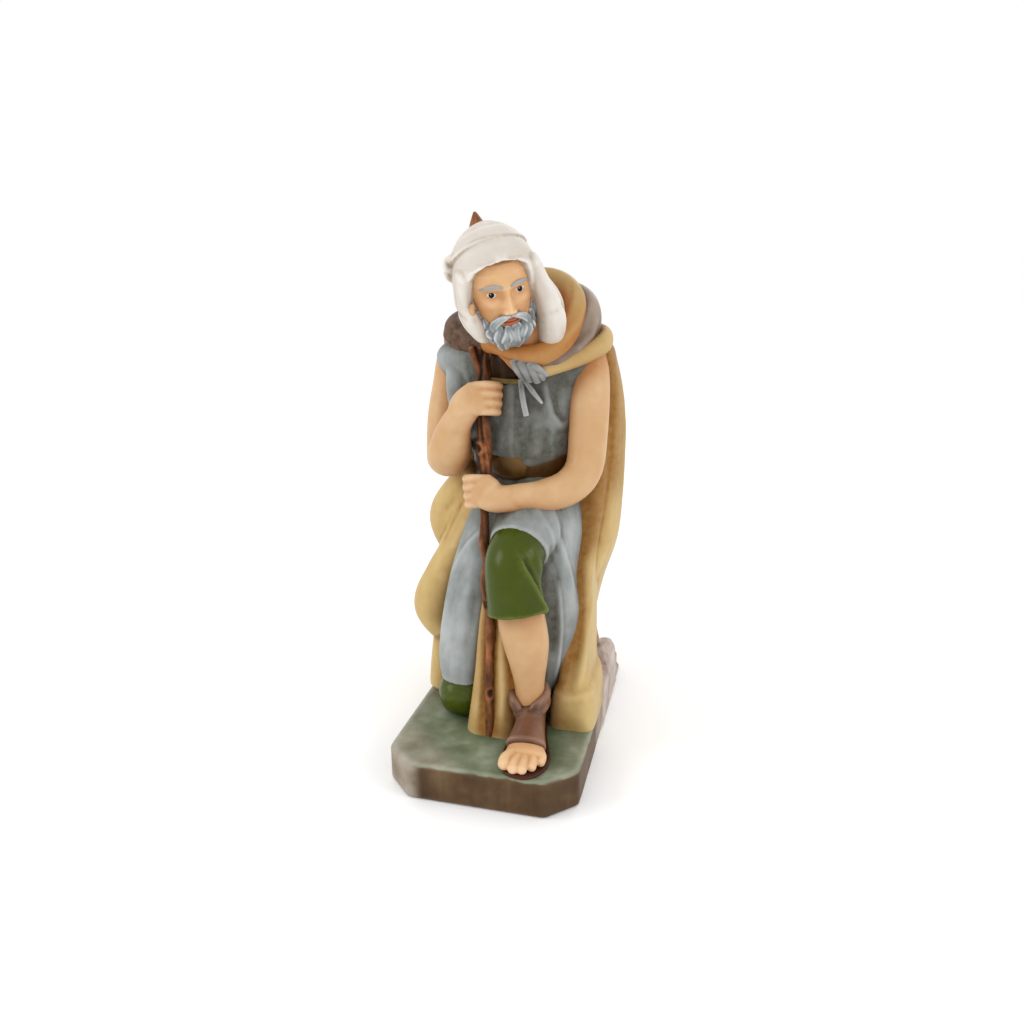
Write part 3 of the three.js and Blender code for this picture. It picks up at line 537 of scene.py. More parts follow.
def weathered(points, normals, edges):
    """Rough stone: ridges of |sine| at chance slants and spacings, and scattered round pits, both
    shallower on the side that is flush with the base."""
    depth = np.zeros(len(points))
    slants = unit(stone_dice.normal(size=(STONE_RIDGES, 3)))
    waves = stone_dice.uniform(3.2, 9.5, STONE_RIDGES)
    phases = stone_dice.uniform(0, 6.3, STONE_RIDGES)
    for slant, wave, phase in zip(slants, waves, phases):
        depth = depth + 0.032 * wave * np.abs(np.sin(points @ slant * 3.14 / wave + phase))
    depth = depth - depth.mean()
    pits = points[stone_dice.integers(0, len(points), STONE_PITS)]
    reaches = stone_dice.uniform(0.6, 2.2, STONE_PITS)
    for pit, reach in zip(pits, reaches):
        depth = depth + 0.36 * reach * hill(np.linalg.norm(points - pit, axis=-1), reach)
    side = np.clip((points[:, 0] - BASE_WIDTH / 2 + 1.5) / 2, 0, 0.75)
    return points - normals * (np.maximum(depth, -0.4) * (1 - side))[:, None]


stone_paint = paint(
    "stone paint", (190, 176, 168), (116, 88, 68), (222, 214, 208), wash_and_shade_amount=0.9,
    dry_brush_and_highlight_amount=0.6, patchiness=0.6, patch_size=120.0, gloss=0.55, dent=0.5,
)
piece("stone", stone_mass(), stone_paint, voxel=0.75, smooth=1, spread=6, carve=weathered)

# The long cloak of heavy ochre cloth, cast with the figure. It hangs from the shoulders over
# both sides and the back, spreads on the base, and swings out beside the kneeling leg.
CLOAK_ROWS = [
    [-2, 0, 16, 35.5, 32, 37, 44], [4, 0, 16, 35.5, 31.5, 36, 44], [14, -1, 16, 34.5, 30, 31, 43],
    [28, -1, 15, 34.5, 29, 25, 41], [46, -2, 14, 34.5, 33, 18, 38], [66, -1, 13, 34, 37.6, 15, 35],
    [85, 0, 13, 29, 38, 12, 32], [105, 0, 13, 27, 38.4, 8, 29], [125, 0, 13, 28, 38.2, 6, 27],
    [140, 0, 13, 29, 36, 5, 25], [149, 0, 12, 24, 33, 5, 20], [155, 0, 12, 14, 20, 5, 14],
]
CLOAK_FOLDS = [
    [14, 0, 140, -4, 7, 2], [38, 32, 150, -4, 8, 2.4], [62, 60, 150, -4, 8, 2.2], [84, 90, 150, -4, 8, 2.6],
    [106, 118, 150, -4, 8, 2.2], [128, 142, 150, -4, 8, 2.4], [150, 168, 130, -4, 8, 2.4],
    [-22, -36, 60, -4, 7, 2.2], [26, 18, 110, -4, 4, 1.0], [50, 45, 120, -4, 4, 1.0],
    [73, 76, 100, -4, 4, 1.0], [95, 103, 100, -4, 4, 1.1], [117, 130, 100, -4, 4, 1.0],
    [139, 156, 100, -4, 4, 1.0],
]
CLOAK_LOBES = [
    [[-19, 2, 96, 6, 8], [-27, 5, 84, 9, 9], [-31, 7, 73, 10.5, 9.5], [-28.5, 7, 61, 8, 8.5]],
    [[-17, -2, 84, 6, 8], [-24.6, -1, 66, 7.4, 9.5], [-32, -2, 51, 8.4, 10.5],
     [-36.5, -4, 37.5, 9, 11], [-31, -5, 27, 7, 9]],
    [[-27, -1, 46, 7, 9], [-30.5, -2, 28, 6.5, 9], [-31, -3, 10, 8, 9.5], [-31, -4, 0, 8.4, 9.5]],
]
CLOAK_HEM = [
    [-2, 29, -16, 10.4, 8.6, 15.4, 24], [7, 29, -16, 9.8, 8.2, 15, 24], [13, 28.6, -15, 8.6, 7.4, 13.6, 24],
    [17, 28, -13, 6.6, 5.8, 11, 23], [30, 27.4, -8, 6, 5.4, 9.6, 21], [46, 27, -2, 5.4, 5, 8.6, 18],
    [66, 27.4, 1, 5, 5, 7.6, 14], [90, 29, 3, 4.6, 6, 6, 10], [116, 29, 6, 3, 5.6, 4, 8],
]
CLOAK_INNER_FOLD = [
    [-2, 0, -27, 13, 9, 17, 14], [8, -0.5, -26, 11.5, 9, 15, 13], [22, -1, -24.5, 9.8, 9, 12.5, 13],
    [36, -2, -23, 8.2, 8.5, 10, 12], [50, -2.5, -21, 6.6, 8, 7, 12], [60, -2, -18, 4, 6, 4, 10],
]


def read_rows(rows, t, looped=False):
    """A table read at t = 0 to 1 along its rows, each column a Catmull-Rom curve through them."""
    rows, t = np.asarray(rows, float), np.asarray(t, float)
    count = len(rows)
    if looped:
        at = (t % 1) * count
        first = np.floor(at).astype(int)
        a, b, c, d = (rows[(first + step) % count] for step in (-1, 0, 1, 2))
    else:
        at = np.clip(t, 0, 1) * (count - 1)
        first = np.minimum(np.floor(at).astype(int), count - 2)
        a, b, c, d = (rows[np.clip(first + step, 0, count - 1)] for step in (-1, 0, 1, 2))
    u = (at - first)[..., None]
    return b + 0.5 * u * (c - a + u * (2 * a - 5 * b + 4 * c - d + u * (3 * (b - c) + d - a)))


def squared(value, square):
    """A sine or cosine raised so that the oval it draws grows squarer as `square` passes 2."""
    return np.sign(value) * np.abs(value) ** (2 / square)


def limb(rows, across=(1, 0, 0), rings=40, sides=32, dome=0.9, square=2.0, grooves=0, groove=0.0):
    """A round-ended tube along a smooth line: point plus cos x half width x side plus sin x half
    depth x up, where side is `across` squared to the line. Rows are x, y, z, half width, half
    depth. The ends bulge by `dome` times the smaller half. `grooves` cuts that many flutes."""
    end_lean, end_rings, ahead = 1.45, 6, 0.01
    closing = np.linspace(0, end_lean, end_rings + 1)[1:]
    lean = np.concatenate([-closing[::-1], np.zeros(rings), closing])
    t = np.concatenate([np.zeros(end_rings), np.linspace(0, 1, rings), np.ones(end_rings)])
    row = read_rows(rows, t)
    before, after = np.maximum(t - ahead, 0), np.minimum(t + ahead, 1)
    along = unit(read_rows(rows, after)[:, :3] - read_rows(rows, before)[:, :3])
    across = np.asarray(across, float)
    side = unit(across - along * (along @ across)[:, None])
    up = np.cross(along, side)
    turn = np.linspace(0, 2 * np.pi, sides, endpoint=False)
    fluted = 1 - groove * (0.5 + 0.5 * np.cos(grooves * turn)) if grooves else np.ones(sides)
    size = np.cos(lean)[:, None]
    bulge = dome * np.minimum(row[:, 3], row[:, 4])
    middle = row[:, :3] + along * (np.sin(lean) * bulge)[:, None]
    grid = (
        middle[:, None]
        + side[:, None] * (squared(np.cos(turn), square) * fluted * size * row[:, 3:4])[..., None]
        + up[:, None] * (squared(np.sin(turn), square) * fluted * size * row[:, 4:5])[..., None]
    )
    return skin(grid, row[0, :3] - along[0] * bulge[0], row[-1, :3] + along[-1] * bulge[-1])


def folds_at(folds, angle, height):
    """How far folds stand out: each is rise x exp(-(degrees from its middle / width) squared),
    fading in below its top and out above its bottom. Folds are top angle, bottom angle, top,
    bottom, width, rise."""
    depth = np.zeros(np.broadcast(angle, height).shape)
    for top_angle, bottom_angle, top, bottom, width, rise in folds:
        down = (top - height) / (top - bottom)
        apart = (angle - (top_angle + (bottom_angle - top_angle) * down) + 540) % 360 - 180
        fade = ramp(down, -0.05, 0.25) * ramp(1 - down, -0.05, 0.25)
        depth = depth + rise * fade * hill(apart, width)
    return depth


def oval(turn, left, right, front, back, square):
    """How far an oval with four separate reaches lies from its middle at a turn, in x and in y."""
    c, s = np.cos(turn), np.sin(turn)
    over = squared(c, square) * np.where(c > 0, right, left)
    away = squared(s, square) * np.where(s > 0, back, front)
    return over, away


def drape(rows, folds=(), square=2.4, rings=120, sides=260):
    """Hanging cloth: level ovals pushed out where folds pass. Rows are height, x, y, and the reach
    towards -X, +X, the front and the back."""
    row = read_rows(rows, np.linspace(0, 1, rings))[:, None]
    turn = np.linspace(0, 2 * np.pi, sides, endpoint=False)[None]
    height, x, y, left, right, front, back = (row[..., k] for k in range(7))
    rise = 1 + folds_at(folds, np.degrees(turn), height) / (0.5 * (left + right))
    over, away = oval(turn, left, right, front, back, square)
    grid = np.stack([x + rise * over, y + rise * away, np.broadcast_to(height, rise.shape)], -1)
    ends = [(rows[k][1], rows[k][2], rows[k][0]) for k in (0, -1)]
    return skin(grid, *ends)


def nearest(points, line):
    """For each point, the vector to it from the nearest place on a line of points, the line's
    direction there, and the share of the line's length before that place."""
    line = np.asarray(line, float)
    lengths = np.linalg.norm(np.diff(line, axis=0), axis=1)
    starts = np.cumsum(lengths) - lengths
    least = np.full(len(points), np.inf)
    apart, ahead, share = np.zeros_like(points), np.zeros_like(points), np.zeros(len(points))
    for a, b, length, start in zip(line[:-1], line[1:], lengths, starts):
        along = (b - a) / length
        t = np.clip((points - a) @ along, 0, length)
        off = points - a - t[:, None] * along
        gap = dot(off, off)
        nearer = gap < least
        least = np.where(nearer, gap, least)
        apart[nearer], ahead[nearer] = off[nearer], along
        share[nearer] = (start + t[nearer]) / lengths.sum()
    return apart, ahead, share


def creased(lines):
    """A `carve` that raises folds along lines drawn down the cloth. Rows are width, rise, sharp and
    the line. A fold is rise x exp(-(s / width) squared), s across it; past its crest, towards the
    figure's left, it is `sharp` times as wide, with a trough that deepens as it sharpens. It fades
    at the line's ends, and on cloth that lies in front of the line or behind it."""
    def carve(points, normals, edges):
        out = np.zeros(len(points))
        for width, rise, sharp, *line in lines:
            apart, ahead, share = nearest(points, line)
            s = -dot(np.cross(ahead, normals), apart)
            away = dot(normals, apart)
            beyond = np.maximum(dot(apart, apart) - s**2 - away**2, 0)
            near = hill(away, 5) * hill(np.sqrt(beyond), width)
            fade = ramp(np.minimum(share, 1 - share), -0.03, 0.2)
            crest = hill(s, np.where(s > 0, width * sharp, width))
            trough = 0.7 * (1 - sharp) * hill(s / width - 0.2 - sharp, 0.45)
            out += rise * fade * near * (crest - trough)
        return points + normals * out[:, None]
    return carve


def stain_and_shade_along(lines):
    """Extra wash along lines, which paints shade on most pieces and marks on the lids and beard:
    strength x exp(-(distance / reach) squared), the strongest of them. Rows are reach, strength
    and the line."""
    def strength(points):
        most = np.zeros(len(points))
        for reach, amount, *line in lines:
            distance = np.linalg.norm(nearest(points, line)[0], axis=-1)
            most = np.maximum(most, amount * hill(distance, reach))
        return most
    return strength


cloak_paint = paint(
    "ochre cloth paint", (190, 162, 105), (130, 78, 8), (216, 192, 142), wash_and_shade_amount=0.9,
    dry_brush_and_highlight_amount=0.5, patchiness=0.25, streaks=0.3, shine=0.1,
)
cloak_mass = joined([
    drape(CLOAK_ROWS, CLOAK_FOLDS, square=2.8, rings=160, sides=420),
    *(limb(rows, rings=60, sides=48, dome=0.3) for rows in CLOAK_LOBES),
    drape(CLOAK_HEM, square=5),
    drape(CLOAK_INNER_FOLD, square=4),
])
cloak_folds = creased([
    [2.6, 1.1, 0.7, (-20, -6, 93), (-25, -4, 83), (-29, -4, 75), (-32.7, -5, 68), (-33, -8, 62)],
    [2.6, -0.9, 1.0, (-20, -5, 95), (-24, -4, 88), (-28.5, -3, 83), (-33, -2, 78)],
    [2.2, 0.5, 1.0, (-19.3, -10, 79), (-23.4, -10, 70.5), (-26.7, -10.6, 64)],
    [3.0, 0.7, 1.0, (-29, -10, 56), (-31, -11, 44), (-32, -11, 34)],
    [1.8, 0.9, 0.8, (34.5, -1.8, 49), (34.4, -7.6, 41), (33.1, -15.2, 32), (31.5, -20.9, 22.6),
     (30, -27.5, 13.7)],
    [3.0, -0.7, 1.0, (29.5, -9, 48), (29.8, -16, 32), (28, -21, 22)],
    [2.6, 0.6, 1.0, (31.5, -2, 96), (32, -3, 78), (31, -3, 62)],
    [1.6, 0.5, 1.0, (23, -28.5, 11.5), (30, -28.5, 13), (36.5, -21, 13)],
    [1.3, 0.5, 0.5, (-6.5, -33, 52), (-7.2, -37, 36), (-7.5, -40, 20), (-7.6, -42, 4)],
    [1.6, -0.7, 1.0, (5, -34, 36), (6.5, -37, 20), (7, -39, 8)],
    [1.4, 0.7, 1.0, (-0.5, -31, 50), (1.0, -34.5, 34), (2.4, -38, 18), (3.2, -41, 3)],
    [2.4, -1.5, 1.0, (-5.2, -30, 52), (-4.4, -33, 36), (-3.4, -37.5, 18), (-2.4, -41, 2)],
])
cloak_shade = stain_and_shade_along([
    [4.5, 0.75, (27, -3, 92), (27, -4, 79), (26, -7, 61), (28.5, -11, 44), (27.5, -16, 33),
     (24, -20.5, 23), (19, -23, 10)],
    [3.2, 1.1, (6, -34, 36), (8, -36, 22), (9, -37, 4)],
    [3.2, 1.5, (-5.8, -30, 52), (-5.0, -33, 36), (-4.0, -37.5, 18), (-3.0, -41, 2)],
    [8.0, 1.15, (35, 2, 150), (36, 2, 128), (36, 2, 108), (34, -1, 88), (29, -5, 72)],
    [15, 0.9, (38, 8, 150), (39, 8, 128), (39, 8, 100)],
    [3.0, 0.15, (-14, -14, 84), (-18.5, -15, 72), (-23.5, -16, 61), (-27, -17, 49), (-30, -14, 34)],
])
piece("cloak", cloak_mass, cloak_paint, voxel=1.05, smooth=2, carve=cloak_folds, stain_and_painted_light=cloak_shade)

# The sleeveless tunic of blue-grey cloth, cast with the figure: pleated over the chest, bloused
# over the belt, and falling as a skirt over the kneeling leg and outside the raised one. Its
# masses are the chest, the skirt's right side, its lap, the armhole's front and its left side.
tunic_mass = joined([
    drape([
        [76, 0, 10, 24, 26, 17, 18], [90, 0, 9, 21, 23, 17, 17], [99, 0, 8, 19.5, 21.5, 16.5, 15],
        [103.4, 0, 8, 20, 21.6, 17, 15], [106.4, 0, 7.5, 22, 23, 18.2, 15.4], [120, -1, 7, 25.4, 25, 16, 15],
        [133, -2, 7, 30.4, 28.8, 14.5, 14], [140, -2.5, 6.5, 33.2, 32, 14, 13],
        [145, -2.8, 6.4, 32.4, 32.4, 13.6, 12.4], [149.5, -3, 7, 27, 29, 12, 12],
        [154, -2, 7, 19, 17, 8, 10],
    ], rings=160),
    drape([
        [15, -16, -10, 12, 8, 23, 26], [24, -16, -9, 13, 8.5, 22.5, 26], [38, -15, -7, 13.6, 9, 21, 26],
        [56, -13, -4, 13.2, 10, 18.5, 24], [75, -9, 2, 13, 13, 18, 18], [92, -5, 6, 15, 17, 16, 14],
        [101, -2, 7, 17, 17, 14, 12],
    ], [[215, 224, 84, 12, 16, 0.8]], square=2.8),
    limb([[6, 22, 84, 18, 17], [8, 4, 85, 16.5, 16], [7.8, -12, 81, 14.4, 14], [6.6, -21, 76, 12.9, 13],
          [6.0, -25.8, 73.2, 11.8, 12]], dome=0.04, rings=60, sides=90),
    limb([[-25.6, -0.6, 143, 4.2, 2.6], [-25.4, -3.0, 136, 4.4, 2.3], [-24.4, -4.6, 128, 4.5, 2.3],
          [-22, -6.2, 120, 4.4, 2.4], [-19, -8, 113, 4, 2.6]]),
    drape([
        [7, 14.5, -16, 5.5, 3.5, 9, 8], [14, 15, -12, 7, 6.5, 12, 10], [28, 15.2, -8, 9, 11.5, 15, 14],
        [42, 15, -7, 10, 13, 16, 14], [58, 14.5, -5, 11, 11.5, 18, 14], [76, 12.5, -4, 12, 14.8, 17, 16],
        [92, 9, -1, 14, 16, 15, 16],
    ]),
])
tunic_folds = creased([
    [4.6, 0.9, 0.16, (-0.9, -8, 137), (-0.3, -9.5, 121), (-0.4, -10, 116), (0.1, -11.2, 104)],
    [1.3, -0.5, 1.0, (-6, -9, 133), (-6.4, -9.6, 122), (-6, -10, 116)],
    [2.6, 1.0, 0.45, (11.4, -6.6, 137), (12.9, -7, 129), (14.8, -6.9, 123), (17.6, -4.7, 118.6),
     (20.5, -1.7, 119.5)],
    [1.5, -0.5, 1.0, (15.4, -6, 134), (16.4, -5.7, 127), (17.6, -4.9, 121)],
    [1.6, -0.6, 1.0, (5.2, -9.6, 119), (4.4, -10.4, 111), (3.6, -11, 106)],
    [2.4, 0.7, 1.0, (9.4, -9, 121), (9.6, -10, 113), (8.8, -10.4, 107)],
    [1.6, -0.6, 1.0, (13.4, -8, 118), (13.4, -8.6, 110), (12, -9, 105)],
    [2.0, 0.6, 1.0, (-5.6, -11, 117), (-5, -11.4, 110), (-5.6, -11.4, 105)],
    [1.4, -0.5, 1.0, (-9.4, -10, 120), (-9.2, -10.4, 112), (-9.4, -10.4, 105)],
    [1.6, 0.5, 1.0, (-20, -6, 139), (-19.4, -7, 128), (-18.6, -8, 118)],
    [2.2, 0.7, 0.6, (12, -16, 90), (17.4, -19, 84), (21, -20, 76), (23.6, -18.6, 68), (26, -15, 60),
     (27.5, -11, 50)],
    [1.8, 0.7, 0.7, (9, -20, 88.5), (15, -23.4, 82), (18.4, -22.4, 74), (20.6, -21, 66)],
    [1.9, -0.8, 1.0, (17.6, -25, 78), (18.9, -22.5, 71), (20.4, -20.5, 63), (20.6, -20.6, 56)],
    [1.2, 1.0, 0.8, (20.8, -21, 60), (22, -21.3, 50), (22.7, -21.4, 39), (22.5, -22, 27), (21.4, -22, 17)],
    [2.0, -0.6, 1.0, (18.6, -22, 50), (19, -22.4, 38), (18.6, -22.6, 26)],
    [2.4, 0.6, 0.4, (-23.6, -18, 58), (-21, -17, 65), (-17.5, -17, 71.4), (-11, -18, 78)],
    [2.2, 0.45, 1.0, (-14.5, -22, 60), (-17.5, -26, 42), (-18.5, -30, 22)],
    [1.6, -0.4, 1.0, (-21.5, -22, 54), (-24, -25, 40), (-25, -27, 24)],
    [1.6, -0.4, 1.0, (-12, -24, 56), (-13.2, -28, 40), (-13.6, -32, 24)],
])
tunic_shade = stain_and_shade_along([
    [5.5, 1.0, (18.5, -4.5, 114), (17, -6, 108), (10, -10, 105)],
    [11, 1.0, (-4, -10, 120), (8, -10, 114), (0, -11, 108)],
    [13, 0.75, (-8, -9, 126), (10, -9, 126)],
    [1.1, 1.3, (0.4, -9, 134), (0.7, -10, 120), (1.2, -11.4, 106)],
    [5.0, 0.8, (19, -21, 60), (18.6, -22, 36)],
])
tunic_paint = paint(
    "grey cloth paint", (150, 155, 154), (62, 58, 42), (194, 198, 198), wash_and_shade_amount=0.85,
    dry_brush_and_highlight_amount=0.45, patchiness=0.4, streaks=0.5, shine=0.12,
)


def bloused(points, normals, edges):
    """The tunic's folds, and its overhang above the belt let down in front by exp(-(x / width)
    squared) and drawn up on both sides of that."""
    points = tunic_folds(points, normals, edges)
    x, y, z = points.T
    near = ramp(-z, -113, 7) * ramp(z, 101, 3) * (y < 2)
    drop = 2.2 * hill(x - 6, 7) - 2.2 * hill(x + 11, 5) - 1.6 * hill(x - 20, 5)
    points[:, 2] -= drop * near
    return averaged(points, edges, 1)


piece("tunic", tunic_mass, tunic_paint, voxel=0.86, smooth=2, carve=bloused, stain_and_painted_light=tunic_shade)

# The brown undershirt that shows between the hood and the tunic, with its olive border. It is
# modelled on the chest of the casting and painted, and the border stands a little proud of it.
shirt_paint = paint("brown cloth paint", (64, 38, 12), (26, 12, 2), (100, 66, 34), gloss=0.4, shine=0.08)
border_paint = paint("border paint", (98, 80, 34), (54, 40, 12), (140, 120, 66), wash_and_shade_amount=0.7, gloss=0.4)
piece("undershirt", drape([
    [133, -4, 6, 11, 9, 13.6, 8], [136, -4, 6, 11.6, 10, 14.4, 8], [142, -4, 6, 12, 11, 14.6, 8],
    [149, -4, 7, 12, 10, 13, 8],
], [[268, 268, 147, 133, 5, 0.4], [246, 250, 147, 133, 5, 0.5]]), shirt_paint, voxel=0.6)
piece("shirt_border", limb([
    [-14, -6, 135.6, 0.9, 1.0], [-9, -8.4, 135.5, 0.9, 1.05], [-3, -9.1, 135.3, 0.9, 1.05],
    [2, -8.9, 135.3, 0.9, 1.05], [5, -8, 135.6, 0.9, 1.0],
], across=(0, 1, 0), square=2.6, rings=60), border_paint, voxel=0.4, smooth=2)

# The green knee breeches, cast with the legs and painted glossier than the rest: a split and
# flared hem at the raised knee, and the other knee on the ground under the skirt.
breeches_paint = paint(
    "green cloth paint", (60, 72, 0), (34, 44, 0), (112, 124, 50), wash_and_shade_amount=0.7,
    dry_brush_and_highlight_amount=0.5, patchiness=0.06, gloss=0.24, varnish=0.34, shine=0.04,
)
knee_split = creased([
    [3.2, 2.1, 0.1, (11, -41, 75.4), (12.4, -41, 71.6), (15.2, -40.4, 66.5), (17.9, -38.6, 60.4),
     (20, -36, 55.4), (22, -34, 49), (23, -33, 44)],
    [2.4, 0.5, 1.0, (13.5, -36, 80), (16.5, -35, 73), (18, -33, 66)],
])
# The dark line in the trough beside the hem's split is painted shade.
piece("raised_knee", limb([
    [6.8, -10, 75, 10.5, 10.5], [6.0, -23, 74.2, 11.1, 11.3], [5.6, -31.5, 69.5, 11.1, 11.5],
    [6.3, -34.5, 61, 10.8, 11.3], [7.2, -35.2, 55, 11.0, 11.5], [7.7, -35.6, 51.6, 11.5, 11.8],
], dome=0.08, rings=120, sides=130), breeches_paint, voxel=0.55, smooth=1, carve=knee_split, stain_and_painted_light=stain_and_shade_along([
    [1.0, 1.0, (14, -41.5, 70.6), (16.6, -40, 65.6), (18.8, -38, 60)],
]))
piece("grounded_knee", limb([
    [-17, 4, 9, 10.5, 10.5], [-17, -10, 9.5, 10.6, 10.8], [-17.2, -25.6, 8.2, 10.4, 9.4],
], dome=1.1, square=2.4, rings=60, sides=90), breeches_paint, voxel=0.7, smooth=2)

# The bare shin, arms and hands, cast with the figure and painted as weathered skin with a warm
# wash in the hollows, which also paints the shade there. Both hands close round the staff, the
# right one above the left.
skin_paint = paint(
    "skin paint", (195, 156, 112), (168, 100, 44), (238, 206, 172), wash_and_shade_amount=0.7,
    dry_brush_and_highlight_amount=0.35, patchiness=0.22, gloss=0.36,
)
piece("shin", limb([
    [7.0, -30, 60, 8.0, 8.6], [9.0, -33, 47, 9.2, 9.4], [11, -33.8, 38, 9, 9], [12, -34, 30, 7.6, 7.8],
    [12.6, -34.2, 20, 5.9, 6.4], [13, -34, 8, 6, 7],
], rings=80, sides=90), skin_paint, voxel=0.7, smooth=2)
right_arm = limb([
    [-27.6, 9, 145.4, 6.4, 7.6], [-29.2, 9, 140.4, 7.8, 8.4], [-30.3, 7, 131, 8, 8.4],
    [-31, 1, 118, 7.9, 8.2], [-28.5, -7, 104.5, 8.4, 8.2], [-25.8, -11.6, 107, 8.6, 8],
    [-24.2, -13.6, 112.6, 7.8, 7], [-22.2, -15, 118, 6.4, 5.8], [-20, -15.6, 121.6, 5.7, 5],
    [-17.2, -16, 124.6, 5, 4.2],
], rings=110, sides=80)
left_arm = limb([
    [26.4, 7.4, 143, 6.6, 7.4], [26.8, 6.2, 138, 7.6, 8], [27.6, 2.6, 129, 7.9, 8.6],
    [28, -1.4, 115, 7.7, 8.2], [27.4, -5.6, 102, 7.4, 8.1], [22.8, -11.6, 95.6, 7.2, 6.8],
    [14.2, -17, 92.8, 6.7, 6.3], [6, -21.2, 92.8, 5.4, 5.3], [-1.5, -23.4, 92.4, 4.3, 4.8],
], rings=100, sides=80)
STAFF_FOOT, STAFF_TOP = np.array([-1.9, -42.4, 0]), np.array([-18, 6, 194.0])
STAFF_AXIS = unit(STAFF_TOP - STAFF_FOOT)
RIGHT_FIST, LEFT_FIST = 127.8, 93.4
FINGERS = ((5.1, 1.7), (1.8, 1.85), (-1.6, 1.8), (-4.8, 1.6))


def staff_at(height):
    """The staff's middle at a height."""
    return STAFF_FOOT + (STAFF_TOP - STAFF_FOOT) * height / STAFF_TOP[2]


def fist(height, bend, wrist):
    """A hand closed on the staff: a palm, four fingers turned round it in smooth curves, and a
    thumb over them. `bend` is the side, -1 or 1 along x, where the fingers turn behind it."""
    outward = unit(np.array([0, -1, 0]) + STAFF_AXIS * STAFF_AXIS[1])
    sideways = unit(np.cross(STAFF_AXIS, outward)) * bend

    def spot(out, across, up):
        return staff_at(height) + outward * out + sideways * across + STAFF_AXIS * up

    palm = limb([
        [*wrist, 5.0, 4.7], [*spot(4.8, -6.6, -2.8), 5.4, 4.6], [*spot(5.2, -2.2, -0.3), 6.6, 3.5],
        [*spot(5.2, 1.6, 0.2), 6.3, 2.4],
    ], across=STAFF_AXIS, square=2.4, rings=60, sides=60)
    thumb = limb([
        [*spot(2, -7.5, -4), 2.6, 2.6], [*spot(-2.5, -5.8, -0.5), 2.1, 2.1], [*spot(-4.6, -2, 3), 1.8, 1.8],
    ])
    fingers = []
    for index, (level, thick) in enumerate(FINGERS):
        curl = 1 - 0.035 * index
        bones = (
            (5.0, -3.5, level * 0.96, thick), (6.2 * curl, 0.6, level, thick),
            (5.4 * curl, 3.8, level, thick * 1.06), (2.2, 6.4 * curl, level, thick * 1.04),
            (-1.8, 6.2 * curl, level, thick), (-4.4, 2.6, level, thick * 0.84),
        )
        rows = [[*spot(out, across, up), wide, wide] for out, across, up, wide in bones]
        fingers.append(limb(rows, across=STAFF_AXIS, rings=50, sides=28))
    return [palm, thumb, *fingers]


# Painted shade along the inside of the right forearm and of the left upper arm, and under the left forearm.
piece("arms", joined([
    right_arm, left_arm,
    *fist(RIGHT_FIST, 1, [-21.4, -14.6, 118.6]), *fist(LEFT_FIST, -1, [9.5, -19.6, 92.6]),
]), skin_paint, voxel=0.62, smooth=3, stain_and_painted_light=stain_and_shade_along([
    [3.4, 0.7, (-17.5, -9, 104), (-17, -9.5, 112), (-16.8, -10.5, 119)],
    [2.4, 0.5, (22, -4, 106), (21.6, -3, 118), (22.4, -2, 130)],
    [2.2, 0.5, (2, -22, 87.4), (12, -17.6, 84.8), (22, -11, 87)],
]))

# The staff: a gnarled stick moulded apart, painted a mottled bark brown, glued through the
# fists and into a socket in the base. The stub of a twig stands below its top.
STAFF_TOP_DIAMETER, STAFF_FOOT_DIAMETER = 6.4, 4
STAFF_BENDS = np.array([
    [0, 0.3], [25, 0.9], [43, 1.3], [51, 0.9], [58, 0], [66, 0.3], [74, -0.6], [84, 0.2], [100, 0.5],
    [140, 0.7], [150, 0.9], [194, 0],
])
STAFF_KNOTS = [
    (110, 4.0), (73, 2.4), (58, 1.0), (51, 4.6), (30, 2.0), (17, 5.2), (8, 3.2), (150, 4.4), (160, 3.4),
]
STAFF_SUNK, STAFF_LENGTH, KNOT_REACH = 0.9, 198.9, 2.4


def turned(angle):
    """An angle brought between minus and plus half a turn."""
    return np.angle(np.exp(1j * angle))


def knot_place(level, side):
    """The middle of a knot on the staff's surface."""
    return staff_at(level) + [math.cos(side) * KNOT_REACH, math.sin(side) * KNOT_REACH, 0]


def staff_mass():
    """Rings along the staff's line, their radius growing from foot to top and swelling in sines
    along and round it, cleft into two strands above the knees and dented round each knot; the
    last stretch is cut on a slant."""
    t = 1 - (1 - np.linspace(0, 1, 700)[:, None]) ** 1.1
    turn = np.linspace(0, 2 * np.pi, 56, endpoint=False)[None]
    slant = ramp(t, 0.968, 0.032)
    rise = ramp(t, 0.46, 0.1)
    grown = 0.3 * t + 0.7 * rise**2 * (3 - 2 * rise)
    thick = (STAFF_FOOT_DIAMETER + (STAFF_TOP_DIAMETER - STAFF_FOOT_DIAMETER) * grown) / 2
    gnarled = 0.86 + 0.11 * np.sin(38 * t + turn) + 0.08 * np.sin(68 * t + 2 * turn)
    bark = 0.025 * np.sin(4 * turn + 3 * np.sin(21 * t)) * np.sin(90 * t + 2 * np.sin(2 * turn + 37 * t))
    cleft = 0.2 * rise * hill(turned(turn - 4.85 - 0.5 * np.sin(17 * t)), 0.24)
    height = STAFF_LENGTH * t - STAFF_SUNK
    dents = np.zeros_like(t * turn)
    for level, side in STAFF_KNOTS:
        gap = np.hypot(height - level, turned(turn - side) * KNOT_REACH)
        dents = dents + 0.16 * hill(gap - 2.1, 0.9) - 0.3 * hill(gap, 1.0)
    top = (1 + 0.3 * ramp(t, 0.86, 0.08)) * (1 - 0.86 * slant**1.5)
    radius = thick * (gnarled + bark - cleft + dents) * top
    middle = staff_at(height) + np.array([1, 0, 0]) * np.interp(height, *STAFF_BENDS.T)
    middle = middle - np.array([0.26 * STAFF_TOP_DIAMETER, 0, 0]) * slant
    grid = middle[:, None] + np.stack([radius * np.cos(turn), radius * np.sin(turn), 0 * radius], -1)
    return skin(grid, middle[0], middle[-1])


